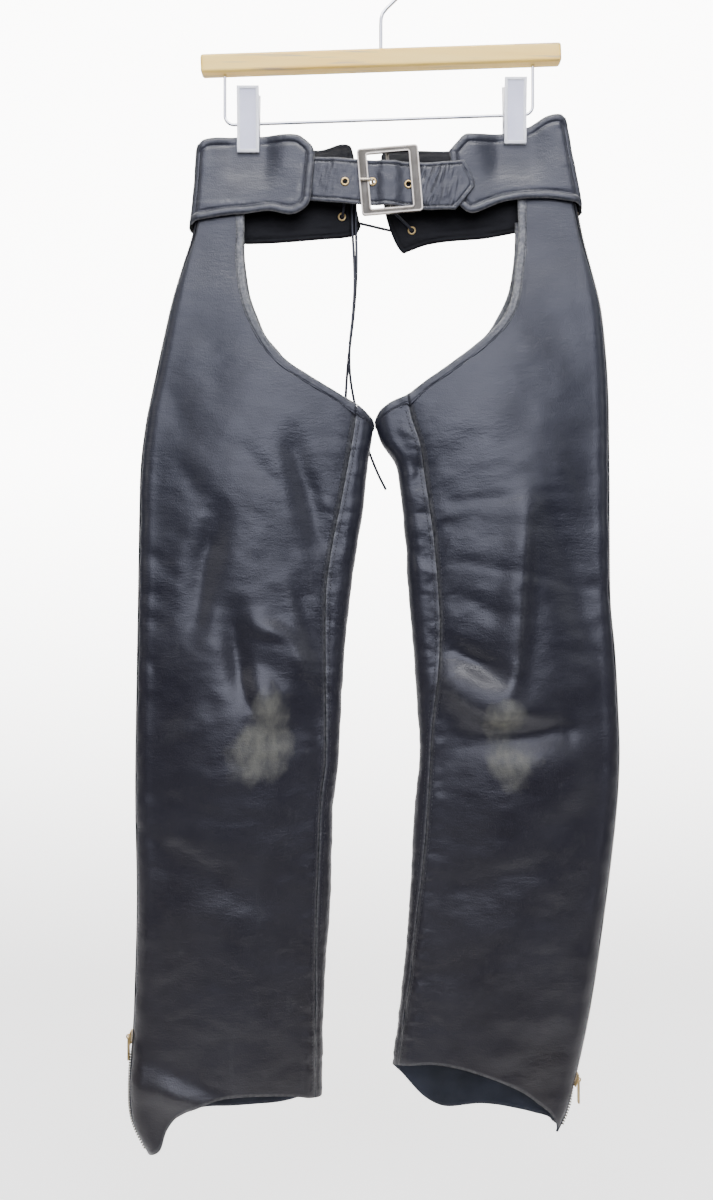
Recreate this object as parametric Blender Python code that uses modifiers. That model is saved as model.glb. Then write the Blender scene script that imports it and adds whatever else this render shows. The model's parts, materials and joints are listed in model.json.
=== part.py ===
"""Leather chaps held by a wooden clip hanger, as they hang from a hook.

Two separate legs hang from a yoke. The front yokes are joined by a buckled belt strap, and the
back yokes by a lace. A full-length zip closes the outer side of each leg and is open at its foot.

Every table below is in millimetres. x runs to the viewer's right from the hook's axis, y runs away
from the viewer, and drop runs down from the seat inside the hook, which is the origin.
"""

import math

import bmesh
import bpy
import numpy as np
from mathutils import Matrix, Vector

MM = 0.001
GAP = 0.3  # air left between two pieces that touch
SIDES = {"L": -1, "R": 1}

LEG_WALL = 2.0
YOKE_WALL = 4.0
BINDING_WALL = 3.4
BINDING_WIDTH = 9.0
BINDING_GAP = 0.7
CORNER_STRETCH = 1.3  # the inseam meets the opening's edge at a slant
STRAP_WALL = 2.5
BUCKLE_STRAP_WALL = 2.0
ZIP_WALL = 2.4
ZIP_HALF_WIDTH = 5.0
ZIP_NARROWING = 1.3  # under the yoke, where the side fold is tight
SEAM_HALF_GAP = 0.25
YOKE_SEAM_HALF_GAP = 0.6
TUCK = YOKE_WALL / 2 + GAP + BINDING_WALL / 2 + 0.4  # how far a leg top lies inside its yoke
TUCK_ENDS = (290, 315)  # drops between which that offset fades away

# Level sections of each leg: the x of the outer and inner folds, the radius they roll over with,
# and how far the front and the back stand from the hanger's plane.
SECTION_COLUMNS = ("drop", "outer", "inner", "roll", "front", "back")
SECTIONS = {
    "L": (
        (150, -182, -8, 8.8, 9, 17),
        (225, -187, -8, 8.8, 10, 17),
        (266, -192, -8, 9.2, 12, 18),
        (300, -201, -8, 10, 15, 20),
        (350, -212, -8, 12, 19, 23),
        (400, -223, -8, 14, 23, 25),
        (438, -231, -8, 15, 26, 26),
        (461, -235.5, -8, 15, 28, 26),
        (502, -240.5, -14, 16, 30, 26),
        (547, -242, -19, 16, 31, 26),
        (640, -243.5, -32.5, 16, 31, 25),
        (730, -245, -40, 16, 33, 24),
        (800, -246, -43.5, 17, 37, 24),
        (850, -246, -49, 17, 34, 24),
        (940, -244.5, -52, 16, 29, 24),
        (1040, -247, -58, 16, 26, 24),
        (1126, -250.5, -60, 16, 25, 25),
        (1160, -246.5, -60.5, 16, 25, 25),
        (1200, -226, -61, 16, 24, 25),
    ),
    "R": (
        (150, 184, -4.6, 8.8, 9, 17),
        (225, 197.5, -4.6, 8.8, 10, 17),
        (266, 205, -4.6, 9.2, 12, 18),
        (300, 212.5, -4.6, 10, 15, 20),
        (350, 221, -4.6, 12, 19, 23),
        (400, 226, -4.6, 14, 23, 25),
        (438, 228, -4.6, 15, 26, 26),
        (459, 228.3, -4.6, 15, 28, 26),
        (478, 228.5, 0.5, 15, 29, 26),
        (500, 228.8, 14.5, 16, 30, 26),
        (520, 229, 19, 16, 30, 26),
        (560, 229, 23.5, 16, 31, 26),
        (640, 230, 29.5, 16, 31, 25),
        (690, 234.5, 34, 16, 32, 25),
        (745, 237.5, 37.5, 16, 34, 24),
        (795, 239, 40, 17, 37, 24),
        (850, 236, 34.5, 17, 34, 24),
        (940, 225.5, 30, 16, 29, 24),
        (1040, 211, 21, 16, 26, 24),
        (1104, 198, 12.7, 16, 25, 25),
        (1148, 185.6, 8, 16, 25, 25),
        (1190, 166, 5, 16, 24, 25),
    ),
}
LEG_CLOSES_BELOW = 400  # drop under which front and back join round the inner fold
WAIST_ENDS = (285, 430)  # drops between which the flat waist turns into the rounder leg

# Where the hanger's clips pinch the waist flat.
CLIP_X = {"L": -133.0, "R": 134.5}
PINCH_DEPTH = YOKE_WALL / 2 + GAP
PINCH_HALF_WIDTH = 14
PINCH_FADE = 17
PINCH_ENDS = (188, 250)

# The inseam, seen on the front of each leg.
INSEAM = {
    "L": (
        (443, -24), (474, -28), (537, -39.6), (587, -49.5), (636, -55.4), (798, -55), (832, -59),
        (885, -61.5), (965, -64.5), (1060, -65), (1140, -65.5),
    ),
    "R": (
        (434, 26), (455, 30), (488, 40), (527, 45.5), (567, 51.4), (607, 55.3), (656, 58.5),
        (705, 57.5), (765, 50.5), (828, 47), (877, 43.5), (927, 38.5), (977, 32.5), (1027, 27),
        (1064, 21.5), (1104, 16.5),
    ),
}

# The free edge of each leg's opening, from the yoke to the inseam's top on the front, from there
# round the inner fold, and up the back to the back yoke. Each row is (x, drop).
OPENING_FRONT = {
    "L": (
        (-137.5, 243), (-138, 285), (-136.5, 308), (-133, 332), (-126, 353), (-118, 371),
        (-106, 389), (-87.5, 406), (-67, 418), (-47, 430), (-24, 443),
    ),
    "R": (
        (137, 229), (138.5, 279), (134.5, 304), (131, 332), (125, 351), (115.5, 365), (101, 379),
        (85, 391.5), (67, 405), (46, 419), (26, 434),
    ),
}
OPENING_CROTCH = {
    "L": ((-24, 443), (-16, 449.5), (-10, 456), (-8, 461)),
    "R": ((26, 434), (9.6, 440.5), (-2, 451), (-4.6, 459)),
}
OPENING_BACK = {
    "L": (
        (-8, 461), (-11, 454), (-24, 443), (-50, 425), (-90, 399), (-118, 366), (-133, 328),
        (-138, 290), (-138.5, 264),
    ),
    "R": (
        (-4.6, 459), (-1, 451), (12, 438), (46, 415), (86, 387), (114, 360), (130, 326),
        (136, 290), (136, 256),
    ),
}
LEG_SIDE_TOP = {"L": 255, "R": 237}  # drop of the hidden top of the outer seam, under the yoke

# Yoke outlines from the side seam inwards: x and drop on the top edge, then on the bottom edge.
YOKE_FRONT = {
    "L": (
        (-183.7, 184, -191.7, 264), (-182.8, 182.8, -190.8, 263.4), (-180.6, 180.2, -188.6, 261.6),
        (-176, 177.2, -184, 259), (-163, 174.5, -168, 256),
        (-147, 173.2, -151, 253.5), (-133, 173, -137, 252.5), (-119, 172.4, -123, 250.5),
        (-101, 172, -110, 249.5),
        (-84, 173, -92, 253), (-76, 177.5, -80.5, 250), (-69, 184, -73, 243.5), (-66, 192, -70, 236),
    ),
    "R": (
        (185.4, 158, 201, 245), (184.5, 156.6, 200.1, 244.4), (182.3, 153.8, 197.9, 242.8),
        (177.5, 152, 193, 240.5), (165, 154, 170, 237), (149, 162.5, 149, 236.5),
        (134.5, 167, 134, 238), (120, 169.8, 118, 241.5), (96, 171.5, 95, 251), (84, 172.5, 86, 250.5),
        (76, 180, 79, 245), (68, 189, 73, 237),
    ),
}
YOKE_BACK = {
    "L": (
        (-183.7, 184, -191.7, 264.5), (-182.8, 182.8, -190.8, 265.6), (-180.6, 180.2, -188.6, 267.6),
        (-176, 177.2, -183.5, 270), (-147, 173, -153, 275),
        (-133, 172, -138, 276), (-119, 172.6, -124, 275.5), (-95, 175, -102, 274), (-64, 179, -62, 270), (-42, 172.5, -36, 267.5),
        (-31, 174, -25, 264), (-27, 185, -20, 256),
    ),
    "R": (
        (185.4, 158, 201.4, 248), (184.5, 156.8, 200.5, 249), (182.3, 154.6, 198.3, 250.6),
        (177.5, 153.6, 193, 253), (149, 162.5, 155, 262), (134.5, 167.5, 139, 264.5),
        (120, 171.5, 125, 267), (100, 176, 104, 270), (69, 180, 73, 272), (40, 179, 48, 275), (15, 178, 30, 281),
        (5, 178.5, 23, 283), (0.6, 184, 17, 276),
    ),
}
YOKE_LEAN = {"YOKE_FRONT": 1.0, "YOKE_BACK": 3.0}  # how late a yoke's inner end slopes away

# Hem drops along each panel: the share of its width, then the drop.
HEM_FRONT = {
    "L": (
        (0, 1190), (0.12, 1182), (0.2, 1163), (0.28, 1147), (0.37, 1138), (0.5, 1130), (0.7, 1128),
        (0.9, 1131), (1, 1134),
    ),
    "R": (
        (0, 1168), (0.12, 1148), (0.21, 1137), (0.33, 1123), (0.48, 1111), (0.63, 1102), (0.78, 1098),
        (0.93, 1100), (1, 1102),
    ),
}
HEM_BACK = {
    "L": (
        (0, 1134), (0.1, 1137), (0.3, 1152), (0.5, 1158), (0.7, 1160), (0.85, 1172), (1, 1190),
    ),
    "R": (
        (0, 1102), (0.08, 1108), (0.17, 1122), (0.3, 1146), (0.42, 1158), (0.6, 1156), (0.8, 1160),
        (1, 1168),
    ),
}

# The largest folds: the x and drop of both ends, the reach to either side, and the height, which
# is negative in a trough.
FOLDS = {
    "front L": (
        (-163, 559, -182, 656, 17, -5), (-147, 650, -136, 735, 15, -5), (-121, 660, -70, 711, 15, 4),
        (-88, 480, -63, 578, 15, -4), (-128, 742, -98, 730, 24, 6), (-200, 900, -120, 930, 22, -3),
        (-236, 1120, -165, 1142, 14, 4),
    ),
    "front R": (
        (141, 540, 124, 720, 16, 5), (68, 718, 134, 750, 20, 8), (85, 782, 180, 770, 16, -6),
        (72, 687, 115, 713, 14, -4), (175, 560, 200, 660, 20, -4), (60, 930, 150, 905, 22, -3),
    ),
    "back L": (
        (-200, 640, -90, 690, 20, 5), (-190, 760, -80, 730, 20, -5), (-160, 480, -120, 570, 20, -4),
    ),
    "back R": (
        (190, 650, 80, 700, 20, 5), (200, 770, 90, 745, 20, -5), (150, 490, 110, 580, 20, -4),
    ),
}

# The zips are open under their sliders, down to the hem.
ZIP_SLIDER_DROP = {"L": 1078, "R": 1120}
ZIP_PARTS_BY = 9
ZIP_PARTS_SLOPE = 0.28
ZIP_PARTS_REACH = 30
SLIDER_LENGTH = 12.5
SLIDER_WIDTH = 8.4
SLIDER_PLATE = 1.5
SLIDER_HALF_GAP = 2.1  # from the zip's middle to each plate
SLIDER_POST = 1.2
BRIDGE_RADIUS = 2.2
BRIDGE_WIRE = 0.7
HINGE_STANDOFF = 1.5
TAB_LENGTH = 24
TAB_WIDTH = 6.5
TAB_THICKNESS = 1.6
TAB_HOLE_END = 3.4
TAB_HOLE_HALF_WIDTH = 1.3

# The belt strap from the left yoke to its tip: x, top and bottom drops, and y where nothing
# carries it.
STRAP_COLUMNS = ("x", "top", "bottom", "y")
STRAP = (
    (-77, 193.5, 236.5, None), (-66, 194, 238, None), (-54, 195, 239.5, -7.4), (-44, 195.5, 240.5, -8.7),
    (-30, 197, 242, -8.95), (-12, 198.5, 243.5, -8.95), (-4, 199, 244, -9.3), (2, 199.4, 244.4, -12.3),
    (15, 200, 245, -12.3), (21.5, 200.4, 245.6, -9.5), (36, 201, 247, -8.95), (46, 201.2, 248.5, -9.4),
    (58, 201.3, 249, -12.4), (66, 201.2, 249.4, None), (74, 201, 249.5, None), (82, 200, 240.5, None),
    (88, 209.5, 233, None), (93, 221, 226, None),
)
STRAP_EYELETS = ((-36, 220.3), (-8.6, 220.7), (27.5, 223.2))
BUCKLE_STRAP_DROPS = (203, 242)

BUCKLE_X = 8.7
BUCKLE_DROP = 220.3
BUCKLE_Y = -13.5
BUCKLE_WIDTH = 61
BUCKLE_HEIGHT = 66
BUCKLE_THICKNESS = 4
BUCKLE_SIDE_BAR = 9.5
BUCKLE_END_BAR = 5.5
BUCKLE_TILT = math.radians(4.9)
BUCKLE_BAR_Y = -6.5
BUCKLE_BAR_RADIUS = 1.6
PRONG_RADIUS = 1.3

EYELET_HOLE = 2.5
EYELET_BARREL = 3.0
EYELET_FLANGE = 4.4
EYELET_FLANGE_THICKNESS = 0.6
BACK_EYELETS = {"L": (-39.4, 247), "R": (32, 260.8)}

# The lace: each row is (x, y, drop).
LACE_RADIUS = 1.4
KNOT = (-28, 9.4, 206)
KNOT_RADII = (4.6, 3.0, 4.2)
LACE_HELD = (
    (-23.8, 9.4, 208.7), (-12, 11, 219), (5, 12, 235), (20, 12, 249.5), (29.2, 11.4, 258.9),
    (31.4, 13.4, 260.6), (31.4, 21, 260.8), (29.4, 23.4, 260.4), (12, 23, 258.5), (-12, 23, 253),
    (-32, 23.4, 248.2), (-38.2, 22, 247.1), (-38.8, 18, 247), (-38.8, 12.6, 246.6),
    (-38, 10.8, 243.5), (-36.5, 10.6, 232), (-34.4, 10.2, 218), (-32.1, 9.4, 208.8),
)
LACE_END_1 = (
    (-29.7, 9.6, 210.6), (-29.4, 10.4, 232), (-28.6, 10.6, 262), (-27, 11.5, 292), (-26.5, 13, 320),
    (-28.5, 16, 350), (-31.5, 19.5, 378), (-31.5, 24, 402), (-28.5, 30, 424), (-23.5, 33.5, 446),
    (-17.5, 33.6, 466), (-10.5, 32.5, 487), (-2, 31, 508), (6, 30, 524),
)
LACE_END_2 = (
    (-26.3, 11.2, 210.6), (-25.6, 12.4, 232), (-25, 13.2, 262), (-24.4, 14.2, 292), (-25.4, 17, 320),
    (-28, 20.5, 350), (-31.5, 24, 378), (-34, 28.6, 402), (-35.5, 32.6, 424), (-36.5, 34, 446),
    (-37, 34, 470), (-37, 33.6, 494), (-36.5, 33.2, 516),
)

BAR_LENGTH = 362
BAR_HEIGHT = 19
BAR_DEPTH = 16
BAR_DROP = 94.5
BAR_TILT = math.radians(1.9)
HOOK_WIRE = 1.75
HOOK_RADIUS = 20.75
HOOK_ENDS = (-50, 205)
CLIP_WIRE = 1.5
CLIP_WIRE_LEFT = (-157, 159.5)
CLIP_WIRE_RIGHT = (153, 149.5)
CLIP_WIRE_CORNER = 9
CLIP_WIDTH = 22
CLIP_LEVER_TOP = 33.5  # height of the finger lever over the wire
CLIP_JAW_FOOT = 31  # depth of the jaw under the wire

PANEL_ROWS = 24
ROW_CROWDING = 1.15  # rows are closer together near the waist
OPENING_STEPS = {"front": 13, "back": 19}
OPENING_CROWDING = {"front": 1.0, "back": 1.5}
FOOT_CROWDING = {"front": 0.35, "back": 0.5}
YOKE_SEAM_STEPS = 4

LEATHER = (0.018, 0.019, 0.022, 1)
SUEDE = (0.03, 0.034, 0.045, 1)
BRASS = (0.62, 0.45, 0.2, 1)
NICKEL = (0.52, 0.48, 0.42, 1)
CHROME = (0.8, 0.8, 0.82, 1)
WOOD = (0.72, 0.55, 0.34, 1)
PLASTIC = (0.85, 0.85, 0.88, 1)


def clear_scene():
    for item in list(bpy.data.objects):
        bpy.data.objects.remove(item, do_unlink=True)


def new_collection(name):
    collection = bpy.data.collections.new(name)
    bpy.context.scene.collection.children.link(collection)
    return collection


def make_material(name, colour, roughness, metallic=0.0):
    material = bpy.data.materials.new(name)
    material.use_nodes = True
    shader = material.node_tree.nodes["Principled BSDF"]
    shader.inputs["Base Color"].default_value = colour
    shader.inputs["Roughness"].default_value = roughness
    shader.inputs["Metallic"].default_value = metallic
    return material


def add_object(name, data, material, location=(0, 0, 0), rotation=(0, 0, 0)):
    """Links one sub-part, in its place, with its material."""
    item = bpy.data.objects.new(name, data)
    item.location = Vector(location) * MM
    item.rotation_euler = rotation
    data.materials.append(material)
    parts.objects.link(item)
    return item


def mesh_from(build):
    """Makes a mesh from a function that fills a bmesh."""
    shape = bmesh.new()
    build(shape)
    mesh = bpy.data.meshes.new("mesh")
    shape.to_mesh(mesh)
    shape.free()
    return mesh


def smooth_shade(mesh, degrees=35):
    mesh.shade_smooth()
    mesh.set_sharp_from_angle(angle=math.radians(degrees))


def blend(a, b, share):
    return a + (b - a) * share


def ease(low, high, value):
    """Rises smoothly from 0 at low to 1 at high."""
    share = min(max((value - low) / (high - low), 0.0), 1.0)
    return share * share * (3 - 2 * share)


def read_table(table, at, column=1):
    """Reads one column of a table at a value of its first column, on a smooth curve."""
    keys = [row[0] for row in table]
    if at <= keys[0]:
        return table[0][column]
    if at >= keys[-1]:
        return table[-1][column]
    i = max(k for k in range(len(keys) - 1) if keys[k] <= at)

    def slope(k):
        before = max(k - 1, 0)
        after = min(k + 1, len(keys) - 1)
        return (table[after][column] - table[before][column]) / (keys[after] - keys[before])

    step = keys[i + 1] - keys[i]
    t = (at - keys[i]) / step
    start = table[i][column]
    end = table[i + 1][column]
    rise = slope(i) * step * t * (1 - t) ** 2 - slope(i + 1) * step * t * t * (1 - t)
    return start * (1 - t) ** 2 * (1 + 2 * t) + end * t * t * (3 - 2 * t) + rise


def section(side, drop, tucked):
    """The leg's level section at a drop; a tucked one lies inside the yoke near the waist."""
    values = {}
    for column, name in enumerate(SECTION_COLUMNS[1:], start=1):
        values[name] = read_table(SECTIONS[side], drop, column)
    inset = TUCK * (1 - ease(*TUCK_ENDS, drop)) if tucked else 0.0
    values["inset"] = inset
    values["outer"] -= SIDES[side] * inset
    values["roll"] -= inset
    values["front"] -= inset
    values["back"] -= inset
    values["width"] = abs(values["inner"] - values["outer"])
    values["girth"] = (math.pi - 2) * values["roll"] + values["width"]
    return values


def fold_height(side, face, x, drop):
    """The largest folds' height at a point of a leg's front or back."""
    total = 0.0
    for x0, drop0, x1, drop1, reach, height in FOLDS[face + " " + side]:
        run = Vector((x1 - x0, drop1 - drop0))
        offset = Vector((x - x0, drop - drop0))
        along = min(max(offset.dot(run) / run.length_squared, 0.0), 1.0)
        away = (offset - run * along).length / reach
        total += height * math.exp(-away * away) * (0.55 + 0.45 * math.sin(math.pi * along))
    return total


def zip_parting(side, drop):
    """How far each half of the zip has moved from the other's line, under the slider."""
    below = max(drop - ZIP_SLIDER_DROP[side], 0.0)
    return ZIP_PARTS_BY * (1 - math.exp(-ZIP_PARTS_SLOPE * below / ZIP_PARTS_BY))


def surface(side, around, drop, tucked=True):
    """A point of the leg's or the yoke's middle surface.

    around runs from 0 at the outer fold over the front to 1 at the inner fold, and over the back
    to 2 at the outer fold again.
    """
    cut = section(side, drop, tucked)
    roll = cut["roll"]
    width = cut["width"]
    face = "front" if around <= 1 else "back"
    travel = min(around, 2 - around) * cut["girth"]
    arc = math.pi * roll / 2
    if travel < arc:
        inward = roll * (1 - math.cos(travel / roll))
        rounding = math.sin(travel / roll)
    elif travel < arc + width - 2 * roll or drop < LEG_CLOSES_BELOW:
        inward = roll + travel - arc
        rounding = 1.0
    else:
        angle = min((travel - arc - width + 2 * roll) / roll, math.pi / 2)
        inward = width - roll + roll * math.sin(angle)
        rounding = math.cos(angle)
    half = width / 2 - roll
    across = min(max((inward - width / 2) / half, -1.0), 1.0)
    leg_bulge = (1 - across * across) ** 1.5
    waist_bulge = ease(0, width, inward)
    bulge = blend(waist_bulge, leg_bulge, ease(*WAIST_ENDS, drop))
    depth = roll + (cut[face] - roll) * bulge
    x = cut["outer"] - SIDES[side] * inward
    beyond = max(abs(x - CLIP_X[side]) - PINCH_HALF_WIDTH, 0.0) / PINCH_FADE
    pinch = math.exp(-beyond * beyond) * (1 - ease(*PINCH_ENDS, drop))
    depth = blend(depth + cut["inset"], PINCH_DEPTH, pinch) - cut["inset"]
    if tucked:
        depth += fold_height(side, face, x, drop)
    parting = zip_parting(side, drop) * math.exp(-travel / ZIP_PARTS_REACH)
    y = depth * rounding + parting
    return Vector((x, -y if face == "front" else y, -drop))


def around_at(side, x, drop, face="front", tucked=True):
    """The around value of the front's or the back's point at a given x."""
    cut = section(side, drop, tucked)
    roll = cut["roll"]
    inward = min(max(abs(x - cut["outer"]), 0.0), cut["width"])
    if inward < roll:
        travel = roll * math.acos(1 - inward / roll)
    elif inward < cut["width"] - roll or drop < LEG_CLOSES_BELOW:
        travel = math.pi * roll / 2 + inward - roll
    else:
        angle = math.asin((inward - cut["width"] + roll) / roll)
        travel = math.pi * roll / 2 + cut["width"] - 2 * roll + roll * angle
    share = travel / cut["girth"]
    return share if face == "front" else 2 - share


def inseam_around(side, drop):
    return around_at(side, read_table(INSEAM[side], drop), drop)


def zip_around(side, drop, half_width=ZIP_HALF_WIDTH):
    return half_width / section(side, drop, True)["girth"]


def panel_around(side, face, share, drop):
    """Turns a share of a panel's width into around; share 0 is the zip in front, the inseam behind."""
    seam_gap = SEAM_HALF_GAP / section(side, drop, True)["girth"]
    inseam = inseam_around(side, drop)
    zip_edge = zip_around(side, drop) + 2.4 * seam_gap
    if face == "front":
        return blend(zip_edge, inseam - seam_gap, share)
    return blend(inseam + seam_gap, 2 - zip_edge, share)


def panel_share(side, face, around, drop):
    start = panel_around(side, face, 0, drop)
    end = panel_around(side, face, 1, drop)
    return min(max((around - start) / (end - start), 0.0), 1.0)


def opening_edge(side, face):
    """The opening's free edge on one panel, as (around, drop) points from its inseam end."""
    front = [(around_at(side, x, drop), drop) for x, drop in OPENING_FRONT[side]]
    if face == "front":
        return front[::-1]
    crotch = [(around_at(side, x, drop), drop) for x, drop in OPENING_CROTCH[side][:-1]]
    back = [(around_at(side, x, drop, "back"), drop) for x, drop in OPENING_BACK[side][1:]]
    return crotch + [(1.0, OPENING_CROTCH[side][-1][1])] + back


def step_over(side, point, move):
    """Moves an (around, drop) point over the surface by a small step in space."""
    around, drop = point
    small = 0.002
    here = surface(side, around, drop)
    over_around = (surface(side, around + small, drop) - surface(side, around - small, drop)) / (2 * small)
    over_drop = surface(side, around, drop + 1) - here
    slopes = np.array([list(over_around), list(over_drop)]).T
    change = np.linalg.lstsq(slopes, np.array(list(move)), rcond=None)[0]
    return around + change[0], drop + change[1]


def edge_inside(side, edge, width):
    """The line that runs at a distance inside an edge, over the surface."""
    inside = []
    for i, point in enumerate(edge):
        before = surface(side, *edge[max(i - 1, 0)])
        after = surface(side, *edge[min(i + 1, len(edge) - 1)])
        along = (after - before).normalized()
        down = Vector((0, 0, -1))
        side_step = Vector((SIDES[side], 0, 0))
        if point[0] < 1.0:
            normal = Vector((0, -1, 0))
        else:
            normal = Vector((0, 1, 0))
        if abs(point[0] - 1.0) * section(side, point[1], True)["girth"] < 12:
            inward = down
        else:
            inward = normal.cross(along)
            if inward.dot(down + side_step * 0.9) < 0:
                inward = -inward
        around, drop = step_over(side, point, inward.normalized() * width)
        if edge[-1][0] > 1.0:
            around = max(around, inseam_around(side, drop) + 0.005 * i)
        inside.append((around, drop))
    return inside


def resample(points, count, crowding=1.0):
    """Points along a line of (around, drop) points: at even steps, or crowded to its start."""
    weights = [0.0]
    for (around0, drop0), (around1, drop1) in zip(points, points[1:]):
        weights.append(weights[-1] + math.hypot((around1 - around0) * 250, drop1 - drop0))
    result = []
    for i in range(count + 1):
        at = weights[-1] * (i / count) ** crowding
        k = max(j for j in range(len(weights) - 1) if weights[j] <= at)
        share = (at - weights[k]) / (weights[k + 1] - weights[k])
        result.append(tuple(blend(points[k][c], points[k + 1][c], min(share, 1.0)) for c in (0, 1)))
    return result


def grid_surface(rows):
    """An open surface through rows of points."""

    def build(shape):
        lines = [[shape.verts.new(point * MM) for point in row] for row in rows]
        for upper, lower in zip(lines, lines[1:]):
            for i in range(len(upper) - 1):
                shape.faces.new((upper[i], lower[i], lower[i + 1], upper[i + 1]))
        bmesh.ops.recalc_face_normals(shape, faces=shape.faces)

    mesh = mesh_from(build)
    smooth_shade(mesh, 60)
    return mesh


def add_wall(name, rows, wall, material):
    """A piece of cloth: an open surface given its thickness."""
    item = add_object(name, grid_surface(rows), material)
    solid = item.modifiers.new("wall", "SOLIDIFY")
    solid.thickness = wall * MM
    solid.offset = 0
    return item


def make_leg_panel(side, face, material):
    """A leg's front or back, from under the yoke and the opening's binding to the hem."""
    edge = resample(opening_edge(side, face), OPENING_STEPS[face], OPENING_CROWDING[face])
    inside = edge_inside(side, edge, BINDING_WIDTH + BINDING_GAP)
    seam_drop = edge[0][1] + (BINDING_WIDTH + BINDING_GAP) * CORNER_STRETCH
    inside[0] = (panel_around(side, face, 1 if face == "front" else 0, seam_drop), seam_drop)
    corner = inside[-1]
    seam_top = LEG_SIDE_TOP[side]
    seam_point = (panel_around(side, face, 0 if face == "front" else 1, seam_top), seam_top)
    if face == "front":
        columns = resample([seam_point, corner], YOKE_SEAM_STEPS)[:-1] + inside[::-1]
        hem = HEM_FRONT[side]
    else:
        columns = inside + resample([corner, seam_point], YOKE_SEAM_STEPS)[1:]
        hem = HEM_BACK[side]
    last = len(columns) - 1
    rows = []
    for r in range(PANEL_ROWS + 1):
        down = (r / PANEL_ROWS) ** ROW_CROWDING
        row = []
        for c, (around, top) in enumerate(columns):
            turn = 2 * math.pi * c / last
            foot_share = (turn - FOOT_CROWDING[face] * math.sin(turn)) / (2 * math.pi)
            drop = blend(top, read_table(hem, foot_share), down)
            share = blend(panel_share(side, face, around, top), foot_share, down)
            row.append(surface(side, panel_around(side, face, share, drop), drop))
        rows.append(row)
    add_wall(f"leg_{face}_{side}", rows, LEG_WALL, material)


def make_binding(side, face, material):
    """The folded strip along one stretch of the opening's free edge."""
    edge = resample(opening_edge(side, face), OPENING_STEPS[face], OPENING_CROWDING[face])
    inside = edge_inside(side, edge, BINDING_WIDTH)
    seam_gap = SEAM_HALF_GAP / section(side, edge[0][1], True)["girth"]
    toward = -1 if face == "front" else 1
    edge[0] = (inseam_around(side, edge[0][1]) + toward * seam_gap, edge[0][1])
    seam_drop = edge[0][1] + BINDING_WIDTH * CORNER_STRETCH
    inside[0] = (inseam_around(side, seam_drop) + toward * seam_gap, seam_drop)
    rows = []
    for across in (0.0, 0.5, 1.0):
        row = []
        for outer_point, inner_point in zip(edge, inside):
            around = blend(outer_point[0], inner_point[0], across)
            drop = blend(outer_point[1], inner_point[1], across)
            row.append(surface(side, around, drop))
        rows.append(row)
    add_wall(f"binding_{face}_{side}", rows, BINDING_WALL, material)


def make_zip_tape(side, face, material):
    """One half of the zip, from the yoke to the hem."""
    hem = read_table(HEM_FRONT[side] if face == "front" else HEM_BACK[side], 0 if face == "front" else 1)
    rows = []
    for r in range(PANEL_ROWS + 1):
        drop = blend(LEG_SIDE_TOP[side], hem, (r / PANEL_ROWS) ** ROW_CROWDING)
        row = []
        narrowing = ZIP_NARROWING * (1 - ease(*TUCK_ENDS, drop))
        for edge in (0.45 + narrowing / 2, ZIP_HALF_WIDTH - GAP - narrowing):
            around = edge / section(side, drop, True)["girth"]
            row.append(surface(side, around if face == "front" else 2 - around, drop))
        rows.append(row)
    add_wall(f"zip_{face}_{side}", rows, ZIP_WALL, material)


def make_yoke(side, face, material):
    outline = YOKE_FRONT[side] if face == "front" else YOKE_BACK[side]
    lean = YOKE_LEAN["YOKE_FRONT" if face == "front" else "YOKE_BACK"]
    rows = []
    steps = 5
    for r in range(steps + 1):
        down = r / steps
        row = []
        for i, (x_top, top, x_bottom, bottom) in enumerate(outline):
            drop = blend(top, bottom, down)
            inner_end = ease(0.6, 1.0, i / (len(outline) - 1))
            x = blend(x_top, x_bottom, down ** blend(1.0, lean, inner_end))
            if i == 0:
                half_gap = YOKE_SEAM_HALF_GAP / section(side, drop, False)["girth"]
                around = half_gap if face == "front" else 2 - half_gap
            else:
                around = around_at(side, x, drop, face, tucked=False)
            row.append(surface(side, around, drop, tucked=False))
        rows.append(row)
    add_wall(f"yoke_{face}_{side}", rows, YOKE_WALL, material)


def yoke_depths(side, x):
    """The y of the front yoke's middle at a few heights and near a given x."""
    near = (x - 5, x, x + 5)
    return [
        surface(side, around_at(side, spot, drop, "front", False), drop, False).y
        for spot in near
        for drop in (194, 220, 246)
    ]


def strap_y(x, table_y):
    """The strap's depth: under the left yoke, free in the middle, over the right yoke."""
    lay = YOKE_WALL / 2 + GAP + 0.1 + STRAP_WALL / 2
    if table_y is not None:
        return table_y
    if x < 0:
        return max(yoke_depths("L", x)) + lay
    return min(yoke_depths("R", x)) - lay


def make_belt_strap(material):
    rows = []
    steps = 4
    for r in range(steps + 1):
        row = []
        for x, top, bottom, table_y in STRAP:
            drop = blend(top, bottom, r / steps)
            row.append(Vector((x, strap_y(x, table_y), -drop)))
        rows.append(row)
    strap = add_wall("belt_strap", rows, STRAP_WALL, material)
    for index, (x, drop) in enumerate(STRAP_EYELETS):
        cutter = add_cutter(f"strap_hole_{index + 1}", EYELET_BARREL + GAP, 12, (x, -9, -drop))
        cut = strap.modifiers.new(cutter.name, "BOOLEAN")
        cut.operation = "DIFFERENCE"
        cut.object = cutter


def strap_point(x, drop):
    """The middle of the belt strap at a given x."""
    keys = [(row[0], strap_y(row[0], row[3])) for row in STRAP]
    for (x0, y0), (x1, y1) in zip(keys, keys[1:]):
        if x0 <= x <= x1:
            return Vector((x, blend(y0, y1, (x - x0) / (x1 - x0)), -drop))
    raise ValueError("outside the strap")


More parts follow.
